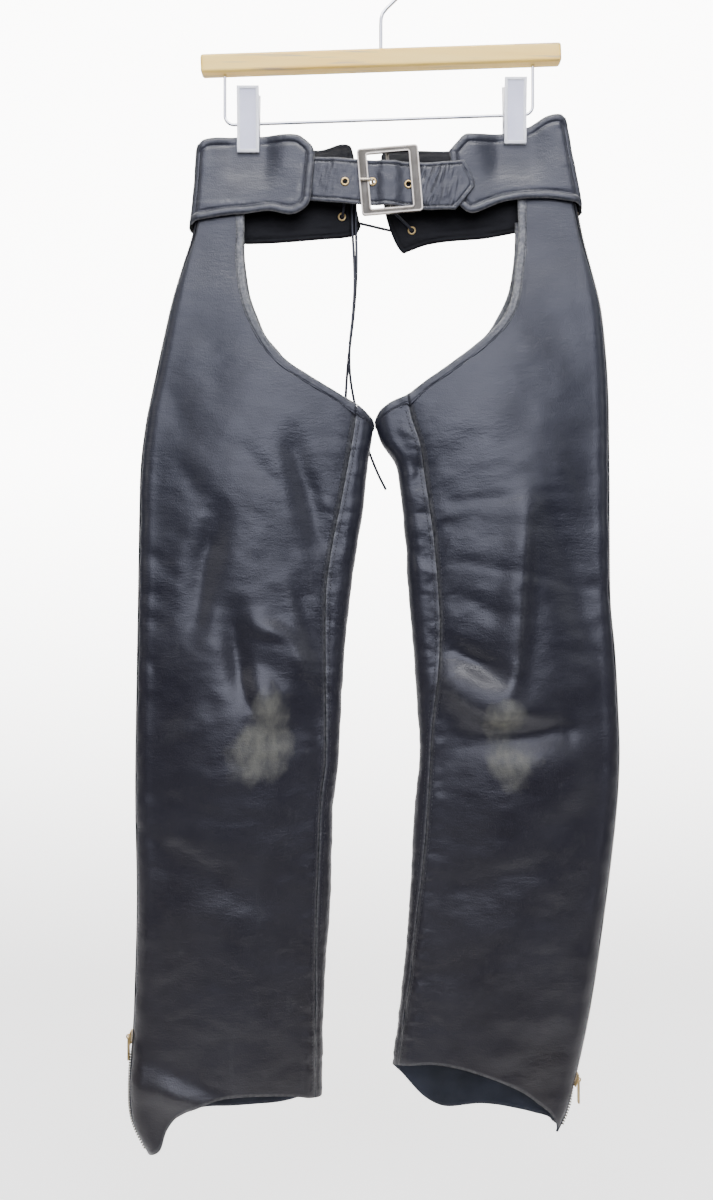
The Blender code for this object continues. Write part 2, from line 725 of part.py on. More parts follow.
def add_cutter(name, radius, length, place, direction=(0, 1, 0)):
    """A hidden cylinder that a Boolean takes away."""
    mesh = mesh_from(
        lambda shape: bmesh.ops.create_cone(
            shape, cap_ends=True, segments=20, radius1=radius * MM, radius2=radius * MM, depth=length * MM
        )
    )
    item = bpy.data.objects.new(name, mesh)
    item.location = Vector(place) * MM
    item.rotation_mode = "QUATERNION"
    item.rotation_quaternion = Vector(direction).to_track_quat("Z", "Y")
    item.hide_render = True
    item.display_type = "WIRE"
    cutters.objects.link(item)
    return item


def make_eyelet(name, middle, normal, wall, material):
    """A brass eyelet: a barrel through the leather with a flange on either face."""
    reach = wall / 2 + GAP
    profile = (
        (EYELET_HOLE, reach + EYELET_FLANGE_THICKNESS),
        (EYELET_FLANGE, reach + EYELET_FLANGE_THICKNESS),
        (EYELET_FLANGE, reach),
        (EYELET_BARREL, reach),
        (EYELET_BARREL, -reach),
        (EYELET_FLANGE, -reach),
        (EYELET_FLANGE, -reach - EYELET_FLANGE_THICKNESS),
        (EYELET_HOLE, -reach - EYELET_FLANGE_THICKNESS),
    )
    item = add_object(name, turned_profile(profile, closed=True), material, middle)
    item.rotation_mode = "QUATERNION"
    item.rotation_quaternion = Vector(normal).to_track_quat("Z", "Y")
    add_screw(item, 15)


def turned_profile(profile, closed):
    def build(shape):
        points = [shape.verts.new((radius * MM, 0, height * MM)) for radius, height in profile]
        for first, second in zip(points, points[1:]):
            shape.edges.new((first, second))
        if closed:
            shape.edges.new((points[-1], points[0]))

    return mesh_from(build)


def add_screw(item, steps):
    screw = item.modifiers.new("turn", "SCREW")
    screw.steps = steps
    screw.render_steps = steps
    screw.use_merge_vertices = True
    screw.merge_threshold = 0.00001
    screw.use_smooth_shade = False
    return screw


def smooth_route(points, spacing):
    """Points at even steps on a smooth curve through a route's own points."""
    ends = [Vector(points[0]) * 2 - Vector(points[1])] + [Vector(p) for p in points]
    ends.append(Vector(points[-1]) * 2 - Vector(points[-2]))
    fine = []
    for k in range(1, len(ends) - 2):
        p0, p1, p2, p3 = ends[k - 1:k + 3]
        for s in range(12):
            t = s / 12
            fine.append(
                0.5 * (2 * p1 + (p2 - p0) * t + (2 * p0 - 5 * p1 + 4 * p2 - p3) * t * t
                       + (3 * p1 - p0 - 3 * p2 + p3) * t ** 3)
            )
    fine.append(ends[-2])
    lengths = [0.0]
    for a, b in zip(fine, fine[1:]):
        lengths.append(lengths[-1] + (b - a).length)
    count = max(2, round(lengths[-1] / spacing))
    route = []
    for i in range(count + 1):
        at = lengths[-1] * i / count
        k = max(j for j in range(len(lengths) - 1) if lengths[j] <= at)
        share = (at - lengths[k]) / (lengths[k + 1] - lengths[k])
        route.append(fine[k].lerp(fine[k + 1], min(share, 1.0)))
    return route


def add_tube(name, points, radius, material, resolution=2):
    """A round wire or thong through points given as (x, y, z)."""
    curve = bpy.data.curves.new(name, "CURVE")
    curve.dimensions = "3D"
    curve.bevel_depth = radius * MM
    curve.bevel_resolution = resolution
    curve.use_fill_caps = True
    spline = curve.splines.new("POLY")
    spline.points.add(len(points) - 1)
    for spot, point in zip(spline.points, points):
        spot.co = (point[0] * MM, point[1] * MM, point[2] * MM, 1)
    return add_object(name, curve, material)


def make_lace(material):
    def route(rows):
        return smooth_route([(x, y, -drop) for x, y, drop in rows], 7.5)

    held = smooth_route([(x, y, -drop) for x, y, drop in LACE_HELD], 4.2)
    add_tube("lace", held, LACE_RADIUS, material)
    add_tube("lace_end_1", route(LACE_END_1), LACE_RADIUS, material)
    add_tube("lace_end_2", route(LACE_END_2), LACE_RADIUS, material)

    def knot(shape):
        bmesh.ops.create_icosphere(shape, subdivisions=2, radius=MM)
        bmesh.ops.scale(shape, vec=KNOT_RADII, verts=shape.verts)

    add_object("lace_knot", mesh_from(knot), material, (KNOT[0], KNOT[1], -KNOT[2]))


def make_back_eyelets(yokes, material):
    for side, (x, drop) in BACK_EYELETS.items():
        around = around_at(side, x, drop, "back", False)
        middle = surface(side, around, drop, False)
        over = surface(side, around + 0.01, drop, False) - surface(side, around - 0.01, drop, False)
        down = surface(side, around, drop + 2, False) - surface(side, around, drop - 2, False)
        normal = over.cross(down).normalized()
        cutter = add_cutter(f"back_hole_{side}", EYELET_BARREL + GAP, 14, middle, normal)
        cut = yokes[side].modifiers.new(cutter.name, "BOOLEAN")
        cut.operation = "DIFFERENCE"
        cut.object = cutter
        make_eyelet(f"back_eyelet_{side}", middle, normal, YOKE_WALL, material)


def rounded_rectangle(width, height, radius, steps=4):
    """Corner points of a rectangle with round corners, counter-clockwise."""
    points = []
    for turn, (sx, sy) in enumerate(((1, 1), (-1, 1), (-1, -1), (1, -1))):
        centre = (sx * (width / 2 - radius), sy * (height / 2 - radius))
        for s in range(steps + 1):
            angle = math.pi / 2 * (turn + s / steps)
            points.append((centre[0] + radius * math.cos(angle), centre[1] + radius * math.sin(angle)))
    return points


def flat_curve(name, outlines, thickness, material, location, rotation):
    """A flat plate: 2D outlines, holes included, filled and given a thickness."""
    curve = bpy.data.curves.new(name, "CURVE")
    curve.dimensions = "2D"
    curve.fill_mode = "BOTH"
    curve.extrude = thickness * MM / 2
    for outline in outlines:
        spline = curve.splines.new("POLY")
        spline.points.add(len(outline) - 1)
        for spot, point in zip(spline.points, outline):
            spot.co = (point[0] * MM, point[1] * MM, 0, 1)
        spline.use_cyclic_u = True
    return add_object(name, curve, material, location, rotation)


def make_buckle(metal):
    opening = (BUCKLE_WIDTH - 2 * BUCKLE_SIDE_BAR, BUCKLE_HEIGHT - 2 * BUCKLE_END_BAR)
    frame = flat_curve(
        "buckle_frame",
        (rounded_rectangle(BUCKLE_WIDTH, BUCKLE_HEIGHT, 7), rounded_rectangle(*opening, 2.5)),
        BUCKLE_THICKNESS,
        metal,
        (BUCKLE_X, BUCKLE_Y, -BUCKLE_DROP),
        (math.pi / 2, -BUCKLE_TILT, 0),
    )
    weld = frame.modifiers.new("weld", "WELD")
    weld.merge_threshold = 0.00001
    edge = frame.modifiers.new("rounding", "BEVEL")
    edge.width = 0.9 * MM
    edge.segments = 1
    edge.limit_method = "ANGLE"
    lean = math.sin(BUCKLE_TILT)
    frame_back = BUCKLE_Y + BUCKLE_THICKNESS / 2 + GAP
    end = BUCKLE_HEIGHT / 2 - BUCKLE_END_BAR / 2
    bar = []
    for height, y in ((end, frame_back), (end, BUCKLE_BAR_Y - 2), (end - 2, BUCKLE_BAR_Y)):
        bar.append((height, y))
    bar += [(-height, y) for height, y in reversed(bar)]
    points = [(BUCKLE_X - height * lean, y, height - BUCKLE_DROP) for height, y in bar]
    add_tube("buckle_bar", points, BUCKLE_BAR_RADIUS, metal)
    prong = (
        (3.0, -5.2), (-5.6, -5.2), (-8.0, -5.9), (-8.6, -7.6), (-8.7, -13), (-9.6, -15.9),
        (-12, -17.1), (-21, -17.2),
    )
    add_tube("buckle_prong", [(x, y, -STRAP_EYELETS[1][1]) for x, y in prong], PRONG_RADIUS, metal)


def make_buckle_strap(material):
    """The short strap behind the belt strap: from the right yoke, round the buckle's centre bar."""
    turn = BUCKLE_BAR_RADIUS + GAP + 0.1 + BUCKLE_STRAP_WALL / 2
    lay = YOKE_WALL / 2 + GAP + 0.1 + BUCKLE_STRAP_WALL / 2
    path = [(82, max(yoke_depths("R", 82)) + lay), (66, max(yoke_depths("R", 66)) + lay)]
    path += [(46, -3.9), (22, -3.3)]
    for step in range(9):
        angle = math.radians(60 + 240 * step / 8)
        path.append((BUCKLE_X + turn * math.cos(angle), BUCKLE_BAR_Y + turn * math.sin(angle)))
    path += [(16, -7.3), (24, -5.9)]
    rows = []
    for drop in BUCKLE_STRAP_DROPS:
        shift = (drop - BUCKLE_DROP) * math.sin(BUCKLE_TILT)
        rows.append([Vector((x + shift * (1 - ease(26, 60, x)), y, -drop)) for x, y in path])
    add_wall("buckle_strap", rows, BUCKLE_STRAP_WALL, material)


def zip_frame(side):
    """The slider's place on the outer fold, and its turn to follow the fold."""
    drop = ZIP_SLIDER_DROP[side]
    place = surface(side, 0, drop)
    run = surface(side, 0, drop - 6) - surface(side, 0, drop + 6)
    turn = math.atan2(run.x, run.z)
    return Vector((place.x, 0, -drop)), turn


def make_slider(side, metal):
    """The zip slider: two plates joined by a post, and a half-round bridge for the pull tab."""
    place, turn = zip_frame(side)
    out = SIDES[side]
    near = SLIDER_HALF_GAP
    far = near + SLIDER_PLATE

    def plates(shape):
        for middle, size in (
            ((out * (near + far) / 2, 0, 0), (SLIDER_PLATE, SLIDER_WIDTH, SLIDER_LENGTH)),
            ((-out * (near + far) / 2, 0, 0), (SLIDER_PLATE, SLIDER_WIDTH, SLIDER_LENGTH)),
            ((0, 0, 0.8 - SLIDER_LENGTH / 2), (2 * near + 1, SLIDER_POST, 1.6)),
        ):
            made = bmesh.ops.create_cube(shape, size=MM)
            bmesh.ops.scale(shape, vec=size, verts=made["verts"])
            bmesh.ops.translate(shape, vec=Vector(middle) * MM, verts=made["verts"])

    body = add_object(f"zip_slider_{side}", mesh_from(plates), metal, place, (0, turn, 0))
    bridge = bridge_mesh(out, far)
    cutter = bpy.data.objects.new(f"slider_bridge_{side}", bridge)
    cutter.location = body.location
    cutter.rotation_euler = body.rotation_euler
    cutter.hide_render = True
    cutter.display_type = "WIRE"
    cutters.objects.link(cutter)
    join = body.modifiers.new("bridge", "BOOLEAN")
    join.operation = "UNION"
    join.object = cutter
    join.use_self = True


def bridge_mesh(out, foot):
    """Half a ring standing on the slider's plate, in the slider's own frame."""
    legs = HINGE_STANDOFF + 0.6
    route = [(-legs, -BRIDGE_RADIUS)]
    for s in range(9):
        angle = math.radians(-90 + 180 * s / 8)
        route.append((BRIDGE_RADIUS * math.cos(angle), BRIDGE_RADIUS * math.sin(angle)))
    route.append((-legs, BRIDGE_RADIUS))
    centre = foot + HINGE_STANDOFF

    def build(shape):
        rings = []
        for k, (x, z) in enumerate(route):
            before = Vector(route[max(k - 1, 0)])
            after = Vector(route[min(k + 1, len(route) - 1)])
            along = (after - before).normalized()
            ring = []
            for side_step in range(8):
                spin = 2 * math.pi * side_step / 8
                across = BRIDGE_WIRE * math.cos(spin)
                spot = Vector((x + along.y * across, BRIDGE_WIRE * math.sin(spin), z - along.x * across))
                ring.append(shape.verts.new(Vector((out * (centre + spot.x), spot.y, spot.z)) * MM))
            rings.append(ring)
        for a, b in zip(rings, rings[1:]):
            for k in range(8):
                shape.faces.new((a[k], a[(k + 1) % 8], b[(k + 1) % 8], b[k]))
        shape.faces.new(rings[0])
        shape.faces.new(rings[-1])
        bmesh.ops.recalc_face_normals(shape, faces=shape.faces)

    return mesh_from(build)


def tab_hinge(side):
    """The pull tab's hinge: the middle of the bridge's half ring."""
    place, turn = zip_frame(side)
    reach = SLIDER_HALF_GAP + SLIDER_PLATE + HINGE_STANDOFF
    return place + Matrix.Rotation(turn, 3, "Y") @ Vector((SIDES[side] * reach, 0, 0))


def make_pull_tab(side, metal):
    """A flat brass tab whose top bar turns inside the slider's bridge, on an axis along y."""
    half = TAB_THICKNESS / 2
    height = TAB_LENGTH
    outline = [
        (x, y - height / 2 + half) for x, y in rounded_rectangle(TAB_WIDTH, height, 0.8, steps=2)
    ]
    hole_height = TAB_HOLE_END - half
    hole = [
        (x, y - half - hole_height / 2)
        for x, y in rounded_rectangle(2 * TAB_HOLE_HALF_WIDTH, hole_height, 0.3, steps=1)
    ]
    tab = flat_curve(
        f"pull_tab_{side}",
        (outline, hole),
        TAB_THICKNESS,
        metal,
        tab_hinge(side),
        (math.pi / 2, 0, math.pi / 2),
    )
    weld = tab.modifiers.new("weld", "WELD")
    weld.merge_threshold = 0.00001


def make_bar(material):
    def build(shape):
        bmesh.ops.create_cube(shape, size=MM)
        bmesh.ops.scale(shape, vec=(BAR_LENGTH, BAR_DEPTH, BAR_HEIGHT), verts=shape.verts)

    bar = add_object("hanger_bar", mesh_from(build), material, (0, 0, -BAR_DROP), (0, -BAR_TILT, 0))
    rounding = bar.modifiers.new("rounding", "BEVEL")
    rounding.width = 3 * MM
    rounding.segments = 3
    holes = (
        ("hook_hole", HOOK_WIRE, (0, 0, -BAR_DROP + 8)),
        ("wire_hole_L", CLIP_WIRE, (CLIP_WIRE_LEFT[0], 0, -BAR_DROP - 12)),
        ("wire_hole_R", CLIP_WIRE, (CLIP_WIRE_RIGHT[0], 0, -BAR_DROP - 2)),
    )
    for name, radius, place in holes:
        cutter = add_cutter(name, radius + GAP, 18, place, (0, 0, 1))
        cut = bar.modifiers.new(name, "BOOLEAN")
        cut.operation = "DIFFERENCE"
        cut.object = cutter


def make_hook(material):
    """The hook: an arc over the seat, and a shank that comes back to the middle of the bar."""
    centre = HOOK_WIRE - HOOK_RADIUS
    points = []
    for s in range(25):
        angle = math.radians(blend(HOOK_ENDS[1], HOOK_ENDS[0], s / 24))
        points.append((HOOK_RADIUS * math.cos(angle), 0, centre + HOOK_RADIUS * math.sin(angle)))
    points += [(9.5, 0, -38.6), (5.4, 0, -42.6), (1.8, 0, -47.2), (0.2, 0, -52.5), (0, 0, -60)]
    points.append((0, 0, -BAR_DROP))
    add_tube("hanger_hook", points, HOOK_WIRE, material)


def make_clip_wire(material):
    """The wire under the bar that carries the clips."""
    left = Vector((CLIP_WIRE_LEFT[0], 0, -CLIP_WIRE_LEFT[1]))
    right = Vector((CLIP_WIRE_RIGHT[0], 0, -CLIP_WIRE_RIGHT[1]))
    points = [Vector((left.x, 0, -BAR_DROP - 7))]
    for corner, start in ((left, math.pi), (right, 1.5 * math.pi)):
        inwards = 1 if corner is left else -1
        middle = corner + Vector((inwards * CLIP_WIRE_CORNER, 0, CLIP_WIRE_CORNER))
        for s in range(5):
            angle = start + math.pi / 2 * s / 4
            points.append(middle + Vector((math.cos(angle), 0, math.sin(angle))) * CLIP_WIRE_CORNER)
    points.append(Vector((right.x, 0, -BAR_DROP + 3)))
    add_tube("hanger_wire", points, CLIP_WIRE, material)


def wire_drop(x):
    share = (x - CLIP_WIRE_LEFT[0]) / (CLIP_WIRE_RIGHT[0] - CLIP_WIRE_LEFT[0])
    return blend(CLIP_WIRE_LEFT[1], CLIP_WIRE_RIGHT[1], share)


def make_clip_jaws(side, material):
    """Two plastic jaws on the wire, which close on the yokes; the profile is (y, z) of the front one."""
    grip = PINCH_DEPTH + YOKE_WALL / 2 + GAP
    groove = CLIP_WIRE + 0.9
    profile = [
        (-12.5, CLIP_LEVER_TOP), (-9.8, CLIP_LEVER_TOP), (-3.2, 8), (-GAP / 2, 4.5), (-GAP / 2, groove),
        (-groove * 0.75, groove * 0.7), (-groove, 0), (-groove * 0.75, -groove * 0.7),
        (-GAP / 2, -groove), (-GAP / 2, -4.5), (-5.6, -10), (-5.6, 5 - CLIP_JAW_FOOT),
        (-grip, 3 - CLIP_JAW_FOOT), (-grip, -CLIP_JAW_FOOT), (-7.6, -CLIP_JAW_FOOT),
        (-8.6, 5 - CLIP_JAW_FOOT), (-8.4, 2), (-8.8, 8),
    ]
    for face, way in (("front", 1), ("back", -1)):
        outline = [(way * y, z) for y, z in profile]
        flat_curve(
            f"clip_{face}_{side}",
            (outline,),
            CLIP_WIDTH,
            material,
            (CLIP_X[side], 0, -wire_drop(CLIP_X[side])),
            (math.pi / 2, 0, math.pi / 2),
        )


def make_strap_eyelets(material):
    for index, (x, drop) in enumerate(STRAP_EYELETS):
        make_eyelet(f"strap_eyelet_{index + 1}", strap_point(x, drop), (0, -1, 0), STRAP_WALL, material)


clear_scene()
parts = new_collection("leather_chaps")
cutters = new_collection("cutters")

leather = make_material("black leather", LEATHER, 0.45)
lining = make_material("suede side", SUEDE, 0.9)
brass = make_material("brass", BRASS, 0.3, 1.0)
nickel = make_material("satin nickel", NICKEL, 0.35, 1.0)
chrome = make_material("chrome", CHROME, 0.1, 1.0)
wood = make_material("pale wood", WOOD, 0.5)
plastic = make_material("white plastic", PLASTIC, 0.35)

back_yokes = {}
for leg in SIDES:
    for panel in ("front", "back"):
        make_yoke(leg, panel, leather)
        make_leg_panel(leg, panel, leather if panel == "front" else lining)
        make_binding(leg, panel, leather)
        make_zip_tape(leg, panel, leather)
    back_yokes[leg] = bpy.data.objects[f"yoke_back_{leg}"]
    make_slider(leg, brass)
    make_pull_tab(leg, brass)
    make_clip_jaws(leg, plastic)

make_belt_strap(leather)
make_strap_eyelets(brass)
make_buckle_strap(leather)
make_buckle(nickel)
make_back_eyelets(back_yokes, brass)
make_lace(leather)
make_bar(wood)
make_hook(chrome)
make_clip_wire(chrome)
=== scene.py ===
"""Dresses leather chaps that hang from a clip hanger: leather, stitching, zips, wood and metal.

The tables repeat the part's own, in millimetres: x to the viewer's right, y away from the viewer,
and drop down from the seat inside the hook.
"""
import json
import math

import bmesh
import bpy
import numpy as np
from mathutils import Matrix, Vector, noise

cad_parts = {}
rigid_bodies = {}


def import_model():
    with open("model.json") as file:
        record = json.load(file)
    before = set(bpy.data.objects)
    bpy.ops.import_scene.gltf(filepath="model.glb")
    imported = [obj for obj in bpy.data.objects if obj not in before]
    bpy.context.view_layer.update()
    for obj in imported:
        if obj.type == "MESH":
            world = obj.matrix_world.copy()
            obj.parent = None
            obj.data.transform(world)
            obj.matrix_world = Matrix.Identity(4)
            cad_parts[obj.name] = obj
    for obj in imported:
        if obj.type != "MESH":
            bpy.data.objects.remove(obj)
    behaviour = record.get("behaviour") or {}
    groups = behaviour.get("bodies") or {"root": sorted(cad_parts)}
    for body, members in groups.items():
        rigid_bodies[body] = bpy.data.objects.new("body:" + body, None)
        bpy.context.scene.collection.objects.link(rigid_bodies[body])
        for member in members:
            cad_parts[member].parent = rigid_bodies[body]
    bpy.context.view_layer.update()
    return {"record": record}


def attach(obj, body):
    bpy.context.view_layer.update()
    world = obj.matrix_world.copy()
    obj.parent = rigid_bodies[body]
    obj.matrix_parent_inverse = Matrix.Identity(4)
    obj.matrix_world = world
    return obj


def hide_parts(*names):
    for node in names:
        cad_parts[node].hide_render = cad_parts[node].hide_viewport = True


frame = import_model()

MM = 0.001
SIDES = {"L": -1, "R": 1}  # the x direction of each leg
FACES = {"front": -1, "back": 1}  # the y direction that each face looks
LEG_WALL = 2.0
YOKE_WALL = 4.0
BINDING_WALL = 3.4
BINDING_WIDTH = 9.0
BINDING_LAP = 1.2  # how far a panel reaches into its folded binding
CORNER_STRETCH = 1.3
STRAP_WALL = 2.5
BUCKLE_STRAP_WALL = 2.0
ZIP_WALL = 2.4
ZIP_HALF_WIDTH = 5.0
ZIP_NARROWING = 1.3
SEAM_HALF_GAP = 0.25
YOKE_SEAM_HALF_GAP = 0.6
GAP = 0.3
TUCK = YOKE_WALL / 2 + GAP + BINDING_WALL / 2 + 0.4
TUCK_ENDS = (276, 352)  # drops between which a leg top comes out from under its yoke

SECTION_COLUMNS = ("drop", "outer", "inner", "roll", "front", "back")
SECTIONS = {
    "L": (
        (150, -182, -8, 8.8, 9, 17), (225, -187, -8, 8.8, 10, 17), (266, -192, -8, 9.2, 12, 18),
        (300, -201, -8, 10, 15, 20), (350, -212, -8, 12, 19, 23), (400, -223, -8, 14, 23, 25),
        (438, -231, -8, 15, 26, 26), (461, -235.5, -8, 15, 28, 26), (502, -240.5, -14, 16, 30, 26),
        (547, -242, -19, 16, 31, 26), (640, -243.5, -32.5, 16, 31, 25), (730, -245, -40, 16, 33, 24),
        (800, -246, -43.5, 17, 37, 24), (850, -246, -49, 17, 34, 24), (940, -244.5, -52, 16, 29, 24),
        (1040, -247, -58, 16, 26, 24), (1126, -250.5, -60, 16, 25, 25), (1160, -246.5, -60.5, 16, 25, 25),
        (1200, -226, -61, 16, 24, 25),
    ),
    "R": (
        (150, 184, -4.6, 8.8, 9, 17), (225, 197.5, -4.6, 8.8, 10, 17), (266, 205, -4.6, 9.2, 12, 18),
        (300, 212.5, -4.6, 10, 15, 20), (350, 221, -4.6, 12, 19, 23), (400, 226, -4.6, 14, 23, 25),
        (438, 228, -4.6, 15, 26, 26), (459, 228.3, -4.6, 15, 28, 26), (478, 228.5, 0.5, 15, 29, 26),
        (500, 228.8, 14.5, 16, 30, 26), (520, 229, 19, 16, 30, 26), (560, 229, 23.5, 16, 31, 26),
        (640, 230, 29.5, 16, 31, 25), (690, 234.5, 34, 16, 32, 25), (745, 237.5, 37.5, 16, 34, 24),
        (795, 239, 40, 17, 37, 24), (850, 236, 34.5, 17, 34, 24), (940, 225.5, 30, 16, 29, 24),
        (1040, 211, 21, 16, 26, 24), (1104, 198, 12.7, 16, 25, 25), (1148, 185.6, 8, 16, 25, 25),
        (1190, 166, 5, 16, 24, 25),
    ),
}
USUAL_GIRTH = 250
LEG_CLOSES_BELOW = 400
WAIST_ENDS = (285, 430)
CLIP_X = {"L": -133.0, "R": 134.5}
PINCH_DEPTH = YOKE_WALL / 2 + GAP
PINCH_HALF_WIDTH = 14
PINCH_FADE = 17
PINCH_ENDS = (188, 250)
INSEAM = {
    "L": (
        (443, -24), (474, -28), (537, -39.6), (587, -49.5), (636, -55.4), (798, -55), (832, -59),
        (885, -61.5), (965, -64.5), (1060, -65), (1140, -65.5),
    ),
    "R": (
        (434, 26), (455, 30), (488, 40), (527, 45.5), (567, 51.4), (607, 55.3), (656, 58.5),
        (705, 57.5), (765, 50.5), (828, 47), (877, 43.5), (927, 38.5), (977, 32.5), (1027, 27),
        (1064, 21.5), (1104, 16.5),
    ),
}
OPENING_FRONT = {
    "L": (
        (-137.5, 243), (-138, 285), (-136.5, 308), (-133, 332), (-126, 353), (-118, 371),
        (-106, 389), (-87.5, 406), (-67, 418), (-47, 430), (-24, 443),
    ),
    "R": (
        (137, 229), (138.5, 279), (134.5, 304), (131, 332), (125, 351), (115.5, 365), (101, 379),
        (85, 391.5), (67, 405), (46, 419), (26, 434),
    ),
}
OPENING_CROTCH = {
    "L": ((-24, 443), (-16, 449.5), (-10, 456), (-8, 461)),
    "R": ((26, 434), (9.6, 440.5), (-2, 451), (-4.6, 459)),
}
OPENING_BACK = {
    "L": (
        (-8, 461), (-11, 454), (-24, 443), (-50, 425), (-90, 399), (-118, 366), (-133, 328),
        (-138, 290), (-138.5, 264),
    ),
    "R": (
        (-4.6, 459), (-1, 451), (12, 438), (46, 415), (86, 387), (114, 360), (130, 326),
        (136, 290), (136, 256),
    ),
}
LEG_SIDE_TOP = {"L": 255, "R": 237}
YOKES = {
    "front L": (
        (-183.7, 184, -191.7, 264), (-182.8, 182.8, -190.8, 263.4), (-180.6, 180.2, -188.6, 261.6),
        (-176, 177.2, -184, 259), (-163, 174.5, -168, 256), (-147, 173.2, -151, 253.5),
        (-133, 173, -137, 252.5), (-119, 172.4, -123, 250.5), (-101, 172, -110, 249.5),
        (-84, 173, -92, 253), (-76, 177.5, -80.5, 250), (-69, 184, -73, 243.5), (-66, 192, -70, 236),
    ),
    "front R": (
        (185.4, 158, 201, 245), (184.5, 156.6, 200.1, 244.4), (182.3, 153.8, 197.9, 242.8),
        (177.5, 152, 193, 240.5), (165, 154, 170, 237), (149, 162.5, 149, 236.5),
        (134.5, 167, 134, 238), (120, 169.8, 118, 241.5), (96, 171.5, 95, 251), (84, 172.5, 86, 250.5),
        (76, 180, 79, 245), (68, 189, 73, 237),
    ),
    "back L": (
        (-183.7, 184, -191.7, 264.5), (-182.8, 182.8, -190.8, 265.6), (-180.6, 180.2, -188.6, 267.6),
        (-176, 177.2, -183.5, 270), (-147, 173, -153, 275), (-133, 172, -138, 276),
        (-119, 172.6, -124, 275.5), (-95, 175, -102, 274), (-64, 179, -62, 270),
        (-42, 172.5, -36, 267.5), (-31, 174, -25, 264), (-27, 185, -20, 256),
    ),
    "back R": (
        (185.4, 158, 201.4, 248), (184.5, 156.8, 200.5, 249), (182.3, 154.6, 198.3, 250.6),
        (177.5, 153.6, 193, 253), (149, 162.5, 155, 262), (134.5, 167.5, 139, 264.5),
        (120, 171.5, 125, 267), (100, 176, 104, 270), (69, 180, 73, 272), (40, 179, 48, 275),
        (15, 178, 30, 281), (5, 178.5, 23, 283), (0.6, 184, 17, 276),
    ),
}
YOKE_LEAN = {"front": 1.0, "back": 3.0}
HEMS = {
    "front L": (
        (0, 1190), (0.12, 1182), (0.2, 1163), (0.28, 1147), (0.37, 1138), (0.5, 1130), (0.7, 1128),
        (0.9, 1131), (1, 1134),
    ),
    "front R": (
        (0, 1168), (0.12, 1148), (0.21, 1137), (0.33, 1123), (0.48, 1111), (0.63, 1102), (0.78, 1098),
        (0.93, 1100), (1, 1102),
    ),
    "back L": (
        (0, 1134), (0.1, 1137), (0.3, 1152), (0.5, 1158), (0.7, 1160), (0.85, 1172), (1, 1190),
    ),
    "back R": (
        (0, 1102), (0.08, 1108), (0.17, 1122), (0.3, 1146), (0.42, 1158), (0.6, 1156), (0.8, 1160),
        (1, 1168),
    ),
}
# Broad folds: both ends as x and drop, the reach to either side and the height.
FOLDS = {
    "front L": (
        (-163, 559, -182, 656, 17, -5), (-147, 650, -136, 735, 15, -5), (-121, 660, -70, 711, 15, 4),
        (-88, 480, -63, 578, 15, -4), (-128, 742, -98, 730, 24, 6), (-200, 900, -120, 930, 22, -3),
        (-236, 1120, -165, 1142, 14, 4),
    ),
    "front R": (
        (141, 540, 124, 720, 16, 5), (68, 718, 134, 750, 20, 8), (85, 782, 180, 770, 16, -6),
        (72, 687, 115, 713, 14, -4), (175, 560, 200, 660, 20, -4), (60, 930, 150, 905, 22, -3),
    ),
    "back L": (
        (-200, 640, -90, 690, 20, 5), (-190, 760, -80, 730, 20, -5), (-160, 480, -120, 570, 20, -4),
    ),
    "back R": (
        (190, 650, 80, 700, 20, 5), (200, 770, 90, 745, 20, -5), (150, 490, 110, 580, 20, -4),
    ),
}

